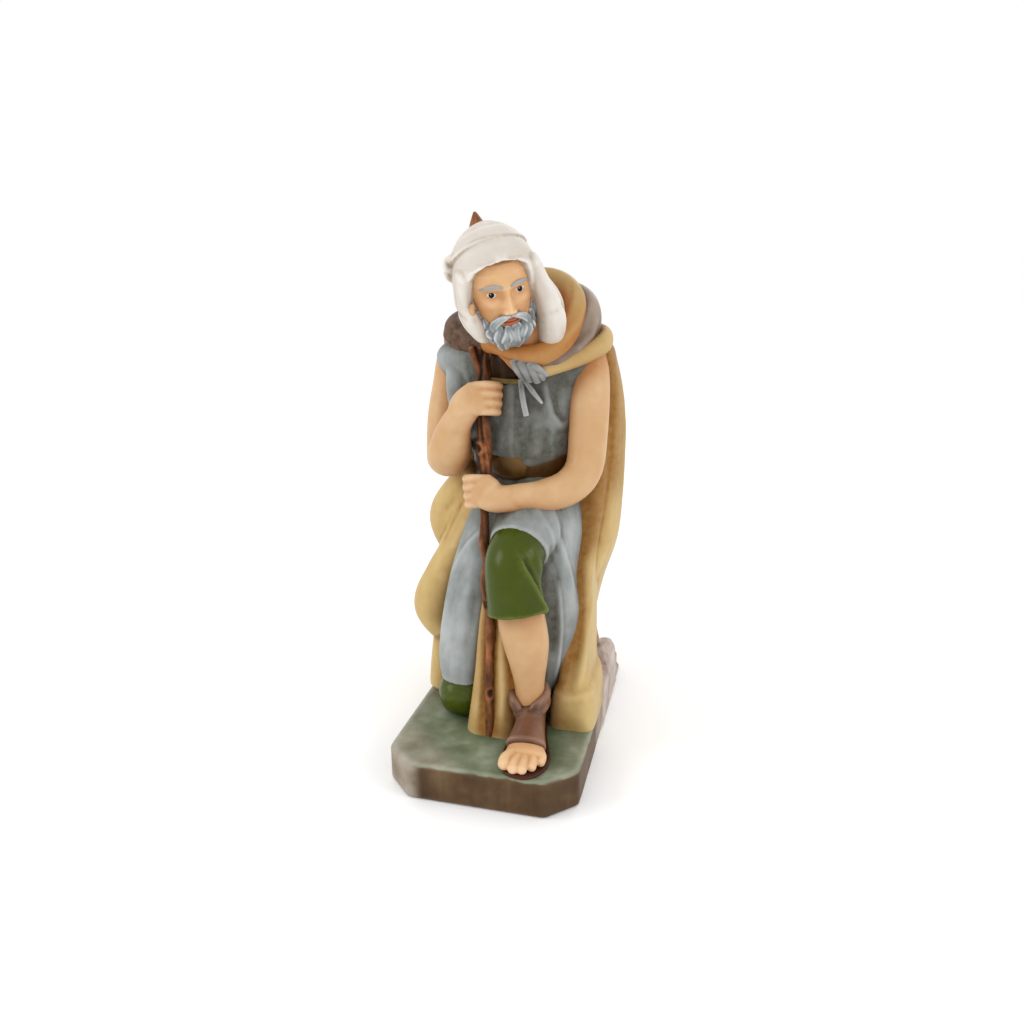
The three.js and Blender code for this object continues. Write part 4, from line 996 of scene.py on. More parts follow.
staff_paint = paint(
    "bark paint", (112, 64, 34), (32, 14, 6), (166, 106, 66), wash_and_shade_amount=1.0, dry_brush_and_highlight_amount=0.6,
    patchiness=1.1, patch_size=190.0, gloss=0.36, dent=0.4, streaks=0.5, shine=0.1,
)
staff_shade = stain_and_shade_along([
    *([1.7, 1.0, knot_place(level, side), knot_place(level + 0.4, side)] for level, side in STAFF_KNOTS),
    [2.2, 0.7, (-7.4, -21, 112), (-9, -17, 122)],
    [3.5, 0.5, (-2.5, -40, 4), (-4.4, -36, 26)],
])
twig = limb([
    [-12.6, -8, 133, 1.7, 1.7], [-13.8, -9, 138.6, 1.7, 1.7], [-15.6, -9, 143.6, 1.5, 1.5],
    [-17.4, -8.6, 148, 1.3, 1.3],
], dome=0.15)
piece("painted_staff", joined([staff_mass(), twig]), staff_paint, voxel=0.4, smooth=1, stain_and_painted_light=staff_shade,
      node="staff")

# The head, bowed, turned to the figure's left and tipped to its right. Its masses are drawn in
# its own frame, millimetres from the middle of the skull with the face towards -Y. The face is
# parted in thirds: hairline to brow, brow to nose base, nose base to chin. It is cast and painted.
HEAD_MIDDLE = np.array([-4.6, -15, 170.5])
HEAD_FRAME = np.array(
    Matrix.Rotation(math.radians(32), 3, "Z")
    @ Matrix.Rotation(math.radians(18), 3, "X")
    @ Matrix.Rotation(math.radians(-13), 3, "Y")
)
BROW_LEVEL, EYE_LEVEL, NOSE_LEVEL, MOUTH_LEVEL, CHIN_LEVEL = 4.9, 2.4, -4.7, -7.5, -15.5
EYE_APART, EYE_RADIUS, EYE_PROUD = 4.8, 2.7, 0.55
FACE_SQUARE, FACE_RINGS, FACE_SIDES = 2.2, 176, 290
FACE_LOWEST, FACE_HIGHEST = -16.4, 19.2
FACE_ROWS = [
    [-16.2, 0, -7, 2.5, 2.5, 2.5, 3], [-15.4, 0, -6, 5.2, 5.2, 5.0, 6], [-12.8, 0, -4, 7.8, 7.8, 8.0, 9],
    [-9.5, 0, -2.2, 9.6, 9.6, 10.2, 11], [-6, 0, -0.8, 10.9, 10.9, 12, 12.5], [-2, 0, 0.3, 12, 12, 13.2, 14],
    [2, 0, 1, 12.5, 12.5, 13.9, 15], [6, 0, 1.5, 12.6, 12.6, 14.7, 15.5], [9.5, 0, 2, 12, 12, 14.4, 15],
    [12.5, 0, 2.4, 10.8, 10.8, 13, 13.6], [14.5, 0, 2.8, 9.2, 9.2, 9.8, 12], [17, 0, 3, 6, 6, 6, 8],
    [19, 0, 3.5, 2, 2, 2, 3],
]


def on_head(mass):
    """A mass drawn in the head's frame, set in its place."""
    points, faces = mass
    return points @ HEAD_FRAME.T + HEAD_MIDDLE, faces


def lines_on_head(lines, plain=3):
    """Rows that end in a line of points drawn in the head's frame, the line set in its place."""
    return [[*row[:plain], *(np.array(row[plain:]) @ HEAD_FRAME.T + HEAD_MIDDLE)] for row in lines]


def bump(x, z, at_x, at_z, wide, high):
    """A smooth round bump of height 1: exp(-(x / wide) squared - (z / high) squared)."""
    return hill(x - at_x, wide) * hill(z - at_z, high)


def face_relief(x, z):
    """How far the face stands out of a plain oval, as a sum of round bumps: the brows, sockets,
    cheeks, wings of the nose, lips and chin, and a ridge for the nose that grows to its tip."""
    side = np.abs(x)
    n, m = z - NOSE_LEVEL, z - MOUTH_LEVEL
    bridge = np.interp(n, [-0.9, -0.3, 0.4, 1.5, 4.0, 6.6, 8.8, 10.6], [0, 0.8, 2.9, 3.9, 2.7, 1.5, 0.8, 0.1])
    wide = np.interp(n, [0, 2, 6, 9.5], [2.0, 1.75, 1.25, 1.8])
    lips = 0.6 * bump(x, m, 0, 0.7, 2.7, 0.6) + 0.7 * bump(x, m, 0, -0.8, 2.3, 0.7)
    return (
        bridge * hill(x, wide)
        + 0.75 * bump(side, z, 4.4, BROW_LEVEL + 0.2, 3.4, 1.1) + 0.3 * bump(x, z, 0, BROW_LEVEL, 1.8, 1.4)
        - 1.6 * bump(side, z, EYE_APART, EYE_LEVEL, 3.1, 1.8) - 0.35 * bump(side, z, 1.9, EYE_LEVEL, 0.9, 1.5)
        + 1.3 * bump(side, n, 1.95, 0.8, 0.8, 0.9) - 0.9 * bump(side, n, 0.95, -0.4, 0.5, 0.4)
        + 0.8 * bump(side, z, 7.0, -0.8, 2.7, 2.3) - 0.35 * bump(side, m, 7.4, 1.2, 2.4, 3)
        - 0.35 * bump(side - 0.42 * (0.6 - n), n, 2.9, -1.2, 0.55, 1.5)
        + 0.9 * bump(x, m, 0, 0.2, 4.4, 2.4) + lips - 0.6 * bump(x, m, 0, 0, 2.6, 0.22)
        - 0.45 * bump(x, m, 0, -2.1, 3, 0.7) + 0.8 * bump(x, z, 0, CHIN_LEVEL + 3.4, 3, 1.8)
        - 0.3 * bump(side, z, 10.6, 5.5, 2, 3)
    )


def oval_at(rows, z):
    """The columns of a drape's rows at heights z, straight between rows."""
    rows = np.asarray(rows, float)
    return [np.interp(z, rows[:, 0], rows[:, k]) for k in range(1, 7)]


def face_front(x, z):
    """The face's y at x and z in the head's frame: the oval's front less the relief."""
    _, y, left, right, front, _ = oval_at(FACE_ROWS, z)
    wide = np.where(x > 0, right, left)
    round_front = np.maximum(1 - (np.abs(x) / wide) ** FACE_SQUARE, 0) ** (1 / FACE_SQUARE)
    return y - front * round_front - face_relief(x, z)


def eyeball_middle(side):
    """The middle of an eyeball, set a little proud of its socket."""
    at = np.array([side * EYE_APART, EYE_LEVEL])
    return np.array([at[0], float(face_front(*at)) + EYE_RADIUS - EYE_PROUD, at[1]])


def eyeball_front(x, z, side, out=0.0):
    """The y of an eyeball's front at x and z, `out` ahead of it."""
    middle = eyeball_middle(side)
    apart = (x - middle[0]) ** 2 + (z - middle[2]) ** 2
    return middle[1] - np.sqrt(np.maximum(EYE_RADIUS**2 - apart, 0)) - out


def face_mass():
    """The oval of FACE_ROWS with the relief pushed out of its front half and the eyeballs raised
    under the lids. Its sides are set closer together in front and behind by turn + 0.35 sin 2 turn."""
    z = read_rows(FACE_ROWS, np.linspace(0, 1, FACE_RINGS))[:, 0][:, None]
    turn = np.linspace(0, 2 * np.pi, FACE_SIDES, endpoint=False)
    turn = (turn + 0.35 * np.sin(2 * turn))[None]
    _, y, left, right, front, back = oval_at(FACE_ROWS, z)
    grid_x, away = oval(turn, left, right, front, back, FACE_SQUARE)
    grid_z = np.broadcast_to(z, grid_x.shape)
    s = np.sin(turn)
    facing = np.clip(-s * 1.8 + 0.1, 0, 1)
    grid_y = y + away - face_relief(grid_x, grid_z) * facing
    for side in (-1, 1):
        middle = eyeball_middle(side)
        near = (s < 0) & (np.hypot(grid_x - middle[0], grid_z - middle[2]) < EYE_RADIUS)
        raised = np.minimum(grid_y, eyeball_front(grid_x, grid_z, side))
        grid_y = np.where(near, raised, grid_y)
    grid = np.stack([grid_x, grid_y, grid_z], -1)
    return skin(grid, (0, FACE_ROWS[0][2], FACE_LOWEST), (0, FACE_ROWS[-1][2], FACE_HIGHEST))


def face_place(x, z, out=0.0):
    """A point on the face at x and z, standing `out` of it."""
    return [x, float(face_front(np.float64(x), np.float64(z))) - out, z]


FACE_SHADOWS = (
    (1.5, 0.75, (2.6, 3.2), (4.6, 4.3), (7.2, 3.6)),
    (1.3, 0.45, (1.9, 2.6), (2.0, 0.6)),
    (1.3, 0.6, (2.9, -3.6), (3.6, -5.4)),
    (2.6, 0.4, (8.6, -2.4), (7.6, -6)),
)
face_shade = stain_and_shade_along(lines_on_head([
    *([reach, strength, *(face_place(side * x, z) for x, z in places)]
      for reach, strength, *places in FACE_SHADOWS for side in (-1, 1)),
    [1.6, 0.35, face_place(-4, 12.4), face_place(4, 12.4)],
], plain=2))
ear = limb([[-12.3, -7.4, -1.2, 1.1, 1.5], [-12.9, -8.0, -3.2, 1.3, 1.8], [-12.1, -7.8, -5.4, 1.0, 1.2]])
neck = limb([[1, 2, 138, 10, 9], [1, -5, 152, 10.4, 8.5], [-1, -10, 163, 9, 8.5]])
neck_shade = stain_and_shade_along([[14, 1.2, (3, -8, 146), (3, -14, 156)]])
face_paint = paint(
    "face paint", (220, 180, 134), (176, 108, 50), (242, 212, 180), wash_and_shade_amount=0.55,
    patchiness=0.15, gloss=0.36,
)
piece("face", on_head(face_mass()), face_paint, stain_and_painted_light=face_shade)
piece("ear", on_head(ear), skin_paint, voxel=0.35)
piece("neck", neck, skin_paint, voxel=0.9, stain_and_painted_light=neck_shade)

# The painted eyes: white almonds on the eyeballs, a dark iris on each with a point of light, and
# soft lids above and below. The grey brows are modelled as tufts, and the lips as two soft rolls.
eye_paint = paint(
    "eye white paint", (220, 222, 222), (168, 168, 168), (236, 238, 240), gloss=0.3, varnish=0.4,
    dent=0.0, wash_and_shade_amount=0.5,
)
iris_paint = paint("iris paint", (8, 8, 14), (2, 2, 4), (20, 20, 26), gloss=0.6, varnish=0.0, dent=0.0)
glint_paint = paint("glint paint", (245, 245, 245), (230, 230, 230), (255, 255, 255), gloss=0.2, dent=0.0)
brow_paint = paint(
    "brow paint", (158, 159, 157), (118, 110, 100), (204, 206, 206), wash_and_shade_amount=0.7, dry_brush_and_highlight_amount=0.6,
    gloss=0.5,
)
lip_paint = paint("lip paint", (188, 98, 58), (130, 50, 20), (220, 146, 106), gloss=0.3, varnish=0.5)
ALMOND_WIDE, ALMOND_HIGH, ALMOND_LOW, ALMOND_SLANT = 2.6, 1.4, 1.1, 0.12
IRIS_OUT, IRIS_RADIUS, GLINT_RADIUS = 0.55, 1.0, 0.14


def almond_edge(across, upper):
    """The height of the almond's edge at `across` = -1 to 1, over its middle line: a flattened
    arc, (1 - across squared) to the power 0.75."""
    arc = np.maximum(1 - np.asarray(across) ** 2, 0) ** 0.75
    return arc * (ALMOND_HIGH if upper else -ALMOND_LOW)


def almond_middle(side, across):
    """The x and z of the almond's middle line at `across`, its outer end the higher one."""
    return side * EYE_APART + ALMOND_WIDE * across, EYE_LEVEL + ALMOND_SLANT * side * ALMOND_WIDE * across


def eye_patch(side):
    """The white of one eye: an almond laid on the eyeball, a little ahead of it, closed behind."""
    a, b = np.meshgrid(np.linspace(-1, 1, 40), np.linspace(-1, 1, 24), indexing="ij")
    x, z = almond_middle(side, a)
    z = z + np.where(b > 0, almond_edge(a, True), almond_edge(a, False)) * np.abs(b)
    front = np.stack([x, eyeball_front(x, z, side, 0.1), z], -1)
    back = front[:, ::-1] + [0, 0.6, 0]
    ring = np.concatenate([front, back], axis=1)
    return skin(ring, ring[0].mean(0), ring[-1].mean(0))


def disc(x, z, side, radius, out):
    """A round spot on an eyeball: rings of points round its middle, closed behind."""
    reach = np.array([0.02, 0.5, 0.85, 1, 0.6])[:, None] * radius
    turn = np.linspace(0, 2 * np.pi, 32, endpoint=False)[None]
    at_x, at_z = x + reach * np.cos(turn), z + reach * np.sin(turn)
    y = eyeball_front(at_x, at_z, side, out)
    y[-1] += 0.5
    grid = np.stack([at_x, y, at_z], -1)
    return skin(grid, grid[0].mean(0), grid[-1].mean(0))


def lid(side, upper):
    """A lid: a roll along the almond's edge."""
    rows = []
    for across in np.linspace(-1.06, 1.06, 9):
        x, z = almond_middle(side, across)
        z = z + float(almond_edge(across, upper)) * 1.08
        thick = (0.36 if upper else 0.26) * (1 - 0.4 * abs(across))
        rows.append([x, float(eyeball_front(x, z, side, 0.12)), z, thick, thick])
    return limb(rows, across=(0, 0, 1), rings=50, sides=14)


eyes, irises, glints, lids, brows, lash_lines = [], [], [], [], [], []
for side in (-1, 1):
    iris_x = side * (EYE_APART + IRIS_OUT)
    eyes.append(eye_patch(side))
    irises.append(disc(iris_x - 0.1, EYE_LEVEL + 0.2, side, IRIS_RADIUS, 0.16))
    glints.append(disc(iris_x - 0.4, EYE_LEVEL + 0.6, side, GLINT_RADIUS, 0.22))
    lids += [lid(side, upper) for upper in (True, False)]
    lash_ends = [[side * EYE_APART + reach, -11.4, EYE_LEVEL + 1.1] for reach in (-2.2, 2.2)]
    lash_lines.append([0.5, 0.8, *lash_ends])
    brows.append(limb([
        [*face_place(side * 1.7, 5.4, 0.1), 0.5, 0.35], [*face_place(side * 4.0, 6.0, 0.2), 0.8, 0.5],
        [*face_place(side * 6.8, 5.8, 0.2), 0.75, 0.48], [*face_place(side * 9.2, 4.6, 0.1), 0.3, 0.3],
    ], across=(0, 0, 1), rings=60, sides=36, grooves=4, groove=0.15))
lips = [
    limb([[*face_place(x, MOUTH_LEVEL + rise, out), wide, deep] for x, rise, out, wide, deep in rows],
         across=(0, 0, 1))
    for rows in (
        ((-3.6, 0.1, -0.1, 0.25, 0.2), (-1.5, 0.6, 0.02, 0.55, 0.36), (0, 0.52, 0.02, 0.45, 0.36),
         (1.5, 0.6, 0.02, 0.55, 0.36), (3.6, 0.1, -0.1, 0.25, 0.2)),
        ((-3.3, -0.1, -0.1, 0.25, 0.2), (-1.3, -0.8, 0.04, 0.66, 0.44), (1.3, -0.8, 0.04, 0.66, 0.44),
         (3.3, -0.1, -0.1, 0.25, 0.2)),
    )
]
piece("eyes", on_head(joined(eyes)), eye_paint)
piece("irises", on_head(joined(irises)), iris_paint)
piece("glints", on_head(joined(glints)), glint_paint)
piece("lids", on_head(joined(lids)), skin_paint, stain_and_painted_light=stain_and_shade_along(lines_on_head(lash_lines, plain=2)))
piece("brows", on_head(joined(brows)), brow_paint)
piece("lips", on_head(joined(lips)), lip_paint)

# The beard and moustache: thick wavy locks of hair cast in relief, blue-grey, with darker paint
# run between them that also paints the shade there, white brushed along their crests that also
# paints their highlights, and dark specks near the tips.
beard_paint = paint(
    "beard paint", (168, 174, 174), (92, 96, 98), (220, 224, 224), wash_and_shade_amount=0.75,
    dry_brush_and_highlight_amount=0.85, patchiness=0.25,
)


def jaw(angle, z, out):
    """A point `out` of the jaw's oval at an angle from the chin, in degrees to the figure's left.
    Under the jaw's lowest oval it draws in."""
    lowest = -12.6
    _, y, left, _, front, _ = oval_at(FACE_ROWS, max(z, lowest))
    under = max(lowest - z, 0)
    turn = math.radians(angle)
    return [
        (left - 0.22 * under + out) * math.sin(turn),
        y - (front - 0.2 * under + out) * math.cos(turn),
        z,
    ]


def lock(angle, top, bottom, lean, thick, out=1.0, wave=1.0):
    """A hanging lock: points down the jaw from `top` to `bottom`, swinging a little as a sine and
    curling out at its tip, up to a tenth thicker than `thick` and tapering."""
    rows = []
    for share, wide in ((0, 0.7), (0.2, 1), (0.4, 1.1), (0.6, 1.08), (0.8, 0.9), (1, 0.5)):
        swing = wave * math.sin(share * 5.4 + angle * 0.35)
        z = top + (bottom - top) * share
        reach = out * math.sin(math.pi * min(share * 0.8 + 0.2, 1)) + 0.5 * share**3
        rows.append([*jaw(angle + lean * share + swing * 3.0, z, reach), thick * wide, thick * wide * 0.8])
    return limb(rows, rings=44, sides=30, grooves=4, groove=0.22)


locks = [drape([
    [-17.6, 0, -8, 3.4, 3.4, 3.4, 3], [-16, 0, -7, 5.6, 5.6, 5.6, 5], [-13, 0, -5.4, 7.6, 7.6, 7, 7],
    [-10.6, 0, -4.4, 8.8, 8.8, 7, 8], [-8.8, 0, -3.6, 9.8, 9.8, 5.4, 8], [-5, 0, -2.6, 11.4, 11.4, 4, 6],
    [-1, 0, -1.6, 12.2, 12.2, 3, 4],
], square=2.2)]
for index, angle in enumerate((-64, -50, -36, -23, -11, 2, 15, 28, 41, 54, 66)):
    tip = -19.2 + 0.0012 * max(abs(angle) - 18, 0) ** 2 + 0.9 * math.sin(index * 2.1)
    tip += 1.4 * (abs(angle - 2) < 3)
    locks.append(lock(angle, -9.6, tip, 4, 1.75, 1.6))
for index, angle in enumerate((-44, -29, -15, -4, 9, 22, 35, 48)):
    tip = -17.2 + 0.001 * angle**2 + 0.9 * math.sin(index * 2.7 + 1)
    locks.append(lock(angle, -10.4, tip, -5, 1.5, 2.8, 1.3))
SIDEBURNS = (
    (-84, 3.5), (-76, 2.5), (-68, -1), (-61, -4.5), (-54, -7.5),
    (54, -7.5), (61, -5), (68, -2), (76, 1.5), (84, 3),
)
for index, (angle, high) in enumerate(SIDEBURNS):
    locks.append(lock(angle, high, -13 + 0.6 * math.sin(index * 2.0), 2, 1.35, 1.2, 0.7))
for side in (-1, 1):
    for low, out, thick in ((0, 0.5, 1.35), (1.0, 0.85, 1.25), (1.9, 0.3, 1.0)):
        locks.append(limb([
            [*face_place(side * 0.6, -5.4 - 0.1 * low, out), 0.6, 0.6],
            [*face_place(side * 2.5, -5.6 - 0.15 * low, out + 0.35), thick * 0.85, thick * 0.8],
            [*face_place(side * (4.9 - 0.2 * low), -6.9 - 0.3 * low, out + 0.4), thick * 1.1, thick * 0.9],
            [*face_place(side * (6.6 - 0.5 * low), -9.4 - 0.4 * low, out + 0.7), thick * 1.1, thick * 0.9],
            [*jaw(side * (43 - 5 * low), -13.4 - 0.5 * low, 2.6), 0.6, 0.5],
        ], across=(0, 0, 1), rings=60, sides=30, grooves=4, groove=0.22))
SPECKS = (
    (-26, -16.6), (-14, -18), (4, -16.4), (16, -17.6), (30, -15.4), (60, -8), (72, -3), (-62, -10),
)
specks = stain_and_shade_along(lines_on_head([
    [0.75, 1.0, jaw(angle, z, 3.4), jaw(angle + 2, z - 0.8, 3.4)] for angle, z in SPECKS
], plain=2))
piece("beard", on_head(joined(locks)), beard_paint, voxel=0.3, smooth=2, spread=7, stain_and_painted_light=specks)

# The white headscarf, modelled on the head and painted: a cloth drawn over the brow, its crown
# lapped over that on a slanting line, tied behind the figure's right ear, with its ends hanging
# beside the face.
SCARF_ROWS = [
    [-17, 0, 4, 10, 12, 5, 7], [-13, 0, 4, 13.4, 14, 9, 11], [-8, 0, 4, 15.2, 15.6, 12, 14],
    [-2, 0, 4, 15.8, 16, 14.6, 16], [4, 0, 3.5, 15.6, 15.6, 16.4, 16.8], [9, 0, 3, 14.9, 14.9, 16.6, 16.6],
    [13, 0, 3, 13.4, 13.4, 14.9, 15.4], [17, 0, 3.4, 10.7, 10.7, 11.9, 12.8], [20, 0, 4, 7.2, 7.2, 8, 9],
    [22, 0, 5, 3.2, 3.2, 3.6, 4.4],
]
LAP_FACING, LAP_PLACE = unit(np.array([-0.04, 0.7, 0.71])), 12.1
LAP_LINE = [
    (-14.6, 5.5, 10), (-13.1, 3.4, 13), (-10.3, -0.3, 16.9), (-6.5, -1.8, 19.8), (-2, -3.2, 21),
    (3, -3.5, 20.7), (7.5, -2, 19), (12.7, 2.3, 15.5),
]
BRIM = 14.2
BARE_LEVELS = [-16, -7, 0, 6, 8, 11, 13.2, BRIM]
BARE_FROM = [-9.2, -11.4, -12.4, -12.4, -11.9, -10, -6.1, 0]
BARE_TO = [11.6, 10.8, 10.0, 9.7, 9.5, 8.8, 5.6, 0]
SCARF_SQUARE, SCARF_RINGS, SCARF_SIDES = 2.15, 300, 420


def scarf_shell():
    """The wrapped head as level ovals. Where the face shows, the cloth is drawn in under the skin;
    past the lap's slanting plane it steps out over the band, with a rounded edge."""
    row = read_rows(SCARF_ROWS, np.linspace(0, 1, SCARF_RINGS))[:, None]
    turn = np.linspace(0, 2 * np.pi, SCARF_SIDES, endpoint=False)[None]
    z, x, y, left, right, front, back = (row[..., k] for k in range(7))
    over, away = oval(turn, left, right, front, back, SCARF_SQUARE)
    z = np.broadcast_to(z, over.shape)
    past = np.stack([x + over, y + away, z], -1) @ LAP_FACING - LAP_PLACE
    wrap = ramp(past, -0.25, 0.5) + 0.4 * hill(past - 0.8, 0.9)
    groove = 0.45 * hill(past + 0.6, 0.5)
    from_edge = x + over - np.interp(z, BARE_LEVELS, BARE_FROM)
    to_edge = np.interp(z, BARE_LEVELS, BARE_TO) - x - over
    in_front = np.sin(turn) < 0
    bare = np.where(in_front, np.minimum(np.minimum(from_edge, to_edge), BRIM - z), -9)
    edge_roll = 0.95 * hill(bare + 0.9, 1.5) * in_front
    out = 1 + (wrap - groove + edge_roll) / 15 - 0.3 * ramp(bare, 0, 0.7)
    grid = np.stack([x + over * out, y + away * out, z], -1)
    return skin(grid, (0, 4, -17.5), (0, 5, 22.8))


SCARF_ENDS = [
    [[-12.6, -3, 8, 3, 5], [-14.2, -2.4, -1.5, 2.7, 5.2], [-12.8, -4.2, -8, 3.1, 6.4],
     [-10.4, -5.4, -13.4, 3, 5], [-9.2, -5.6, -15.2, 2.2, 3.4]],
    [[12.0, -4, 9, 3.4, 6], [14.6, -4, -2, 4.4, 7.4], [16.4, -6, -12, 5.4, 7.6],
     [15.6, -9, -20, 4.8, 6], [14.2, -11.4, -27.4, 2.8, 3.4]],
    [[13, 3, 2, 4, 7], [19.4, 1.4, -7, 3.2, 7], [21.4, 0, -14, 2.6, 5.4], [20, -1, -18, 1.6, 3.4]],
]
SCARF_KNOT = [
    [[-14, 6.2, 12.2, 1.6, 1.8], [-16, 7.6, 10.6, 1.7, 1.6], [-16.4, 8.2, 7.6, 1.2, 1.4]],
    [[-14.6, 7, 9.6, 1.4, 1.5], [-16.4, 8.2, 6.4, 1.4, 1.5], [-15.8, 8, 3.8, 0.9, 1.0]],
    [[-14, 6, 8, 1.4, 1.4], [-16.8, 5.6, 9, 1.1, 1.1], [-17, 6.4, 11.4, 0.8, 0.8]],
]
scarf = joined([
    scarf_shell(),
    *(limb(rows, square=2.6, rings=60, sides=60) for rows in SCARF_ENDS),
    *(limb(rows) for rows in SCARF_KNOT),
])
SCARF_TUCKS = [
    [(13.4, -11.6, -9.4), (17.4, -11.6, -8.6), (21.6, -6, -7.4)],
    [(-16.6, 3, -3.4), (-15.6, -4, -4.6), (-12.8, -10, -5.6)],
]
scarf_folds = creased(lines_on_head([
    [2.4, 0.3, 0.8, (-13.4, -1, 13), (-8, -5.6, 17.4), (0, -7.6, 18.9), (7, -6.4, 17.6)],
    [1.8, 0.5, 0.7, (-12.5, 8, 17), (-6, 3, 22), (1, 1.4, 23), (8, 3, 20.6)],
    [1.5, 0.5, 0.6, (-15.4, 2, 9), (-16.4, -0.6, 2), (-15.8, -3, -6), (-12.8, -6, -13)],
    [1.3, 0.4, 1.0, (-14.2, -5, 7), (-14.6, -7.6, 0), (-12.9, -9, -7)],
    [1.2, -0.5, 1.0, *SCARF_TUCKS[1]],
    [2.0, 0.6, 0.7, (13.6, -9, 8), (17.4, -9.6, -2), (20, -11.6, -11), (19.6, -12.6, -18)],
    [1.4, -0.5, 1.0, *SCARF_TUCKS[0]],
    [1.6, 0.4, 1.0, (15, -11, -2), (16.4, -12.6, -12), (16, -14.4, -20)],
]))
scarf_shade = stain_and_shade_along(lines_on_head([
    [0.7, 0.55, *LAP_LINE],
    [2.0, 0.4, (-16, 8, 9), (-16, 8, 5)],
    *([1.0, 0.35, *tuck] for tuck in SCARF_TUCKS),
], plain=2))
scarf_paint = paint(
    "white cloth paint", (214, 207, 198), (160, 140, 118), (240, 236, 230), wash_and_shade_amount=0.75,
    dry_brush_and_highlight_amount=0.5, patchiness=0.15, gloss=0.45,
)
piece("headscarf", on_head(scarf), scarf_paint, voxel=0.46, smooth=3, carve=scarf_folds, stain_and_painted_light=scarf_shade)

# The cloak's fallen hood lies round the neck, cast with the cloak, in three rolls over a low dome:
# an ochre lining, a taupe turn and an ochre hem. The lining is washed deep orange where the beard
# shades it.
lining_paint = paint(
    "ochre lining paint", (166, 134, 78), (166, 92, 24), (212, 186, 136), wash_and_shade_amount=0.9, patchiness=0.15,
)
hood_paint = paint(
    "taupe cloth paint", (152, 134, 116), (76, 48, 26), (190, 174, 164), wash_and_shade_amount=1.0,
    dry_brush_and_highlight_amount=0.5, patchiness=0.3,
)


def roll(rows, rings=200, sides=40):
    """A rolled collar: an oval carried round a closed loop, out across x cos + up x sin. Rows are
    x, y, z, half thickness outwards, half thickness upwards."""
    t, ahead = np.linspace(0, 1, rings, endpoint=False), 0.004
    row = read_rows(rows, t, True)
    along = unit(read_rows(rows, t + ahead, True)[:, :3] - read_rows(rows, t - ahead, True)[:, :3])
    outward = unit(np.cross(along, [0, 0, 1]))
    upward = np.cross(outward, along)
    turn = np.linspace(0, 2 * np.pi, sides, endpoint=False)
    grid = (
        row[:, None, :3]
        + outward[:, None] * (np.cos(turn) * row[:, 3:4])[..., None]
        + upward[:, None] * (np.sin(turn) * row[:, 4:5])[..., None]
    )
    return skin(grid)


dome = drape([
    [138, 0, 10, 27, 29, 16, 17], [148, -1, 11, 27, 29, 15, 18], [156, 0, 13, 23, 26, 12, 15],
    [164, 1, 15, 17, 20, 10, 14], [169, 2, 16, 11, 12, 8, 8],
])
hood_lining = roll([
    [3.5, -12, 146.2, 3.6, 3.6], [13, -10.5, 146.4, 4.2, 5.2], [19.5, -3, 152, 5, 7.5],
    [19.5, 7, 162, 5, 7.5], [13, 16, 169, 5, 6.5], [2, 21, 171, 4.6, 6], [-12, 17, 166, 4.4, 6],
    [-20, 7, 156.5, 4.2, 5.4], [-16.6, -1, 149.6, 3.6, 4.4], [-7.6, -8.4, 148.8, 3.2, 3.4],
])
hood_turn = roll([
    [6, -11.6, 143.6, 2.2, 2.0], [16.5, -8.5, 143.8, 4, 4.8], [24.5, 1, 151, 4.2, 6.5],
    [24.8, 12, 158.4, 5, 7.8], [16, 22.5, 163, 6, 8.6], [2, 27, 161.5, 6.4, 8],
    [-15, 22.5, 158.5, 6, 7.5], [-26.4, 11, 154.6, 5, 6.2], [-26.6, 1, 151.8, 4.2, 5.8],
    [-15, -5.2, 148.6, 3.2, 4.6], [-5, -5.4, 146, 1.6, 2.0],
])
hood_hem = roll([
    [8.5, -12.5, 139.4, 2.2, 2.2], [19, -8.5, 142.8, 2.8, 3.2], [29.5, 1, 147.4, 3.2, 4],
    [31.5, 12, 150.4, 3.2, 4.6], [22, 26, 151, 3.6, 5], [3, 32, 151, 3.8, 5], [-18, 27, 150, 3.6, 5],
    [-30, 12, 149, 3.4, 4.4], [-27, 3, 148, 3, 4], [-11, -1, 144, 2.4, 3], [0, -5, 141, 1.6, 1.6],
])
hood_folds = creased([
    [1.2, 0.6, 0.6, (-32, 4, 153), (-27, -1, 149), (-22, -5, 145.5)],
    [1.6, 0.6, 1.0, (28, 6, 160), (28, 0, 153), (22, -8, 146)],
])
hood_shade = stain_and_shade_along([
    [13, 1.8, (-22, 4, 156), (-19, -2, 151), (-15, -7, 146), (-12, -6, 142)],
    [3, 0.5, (16, -12, 141), (8, -15, 139)],
])
lining_folds = creased([
    [1.6, 0.5, 1.0, (20, 10, 171), (23.6, 4, 164), (22.6, -4, 157), (17, -12, 149)],
    [1.3, -0.4, 1.0, (18, 8, 173), (20, 2, 166), (19, -5, 158)],
])
lining_shade = stain_and_shade_along([
    [4.2, 1.15, (-6, -9, 151), (0, -12, 150.4), (8, -10, 151.6), (14, -5, 156), (15, 2, 163)],
    [3.0, 0.5, (24, 2, 158), (24.6, 10, 164)],
])
piece("hood", hood_turn, hood_paint, voxel=0.75, smooth=3, carve=hood_folds, stain_and_painted_light=hood_shade)
piece("hood_lining", joined([dome, hood_lining]), lining_paint, voxel=0.7, smooth=3, carve=lining_folds,
      stain_and_painted_light=lining_shade)
piece("hood_hem", hood_hem, cloak_paint, voxel=0.7, smooth=3)

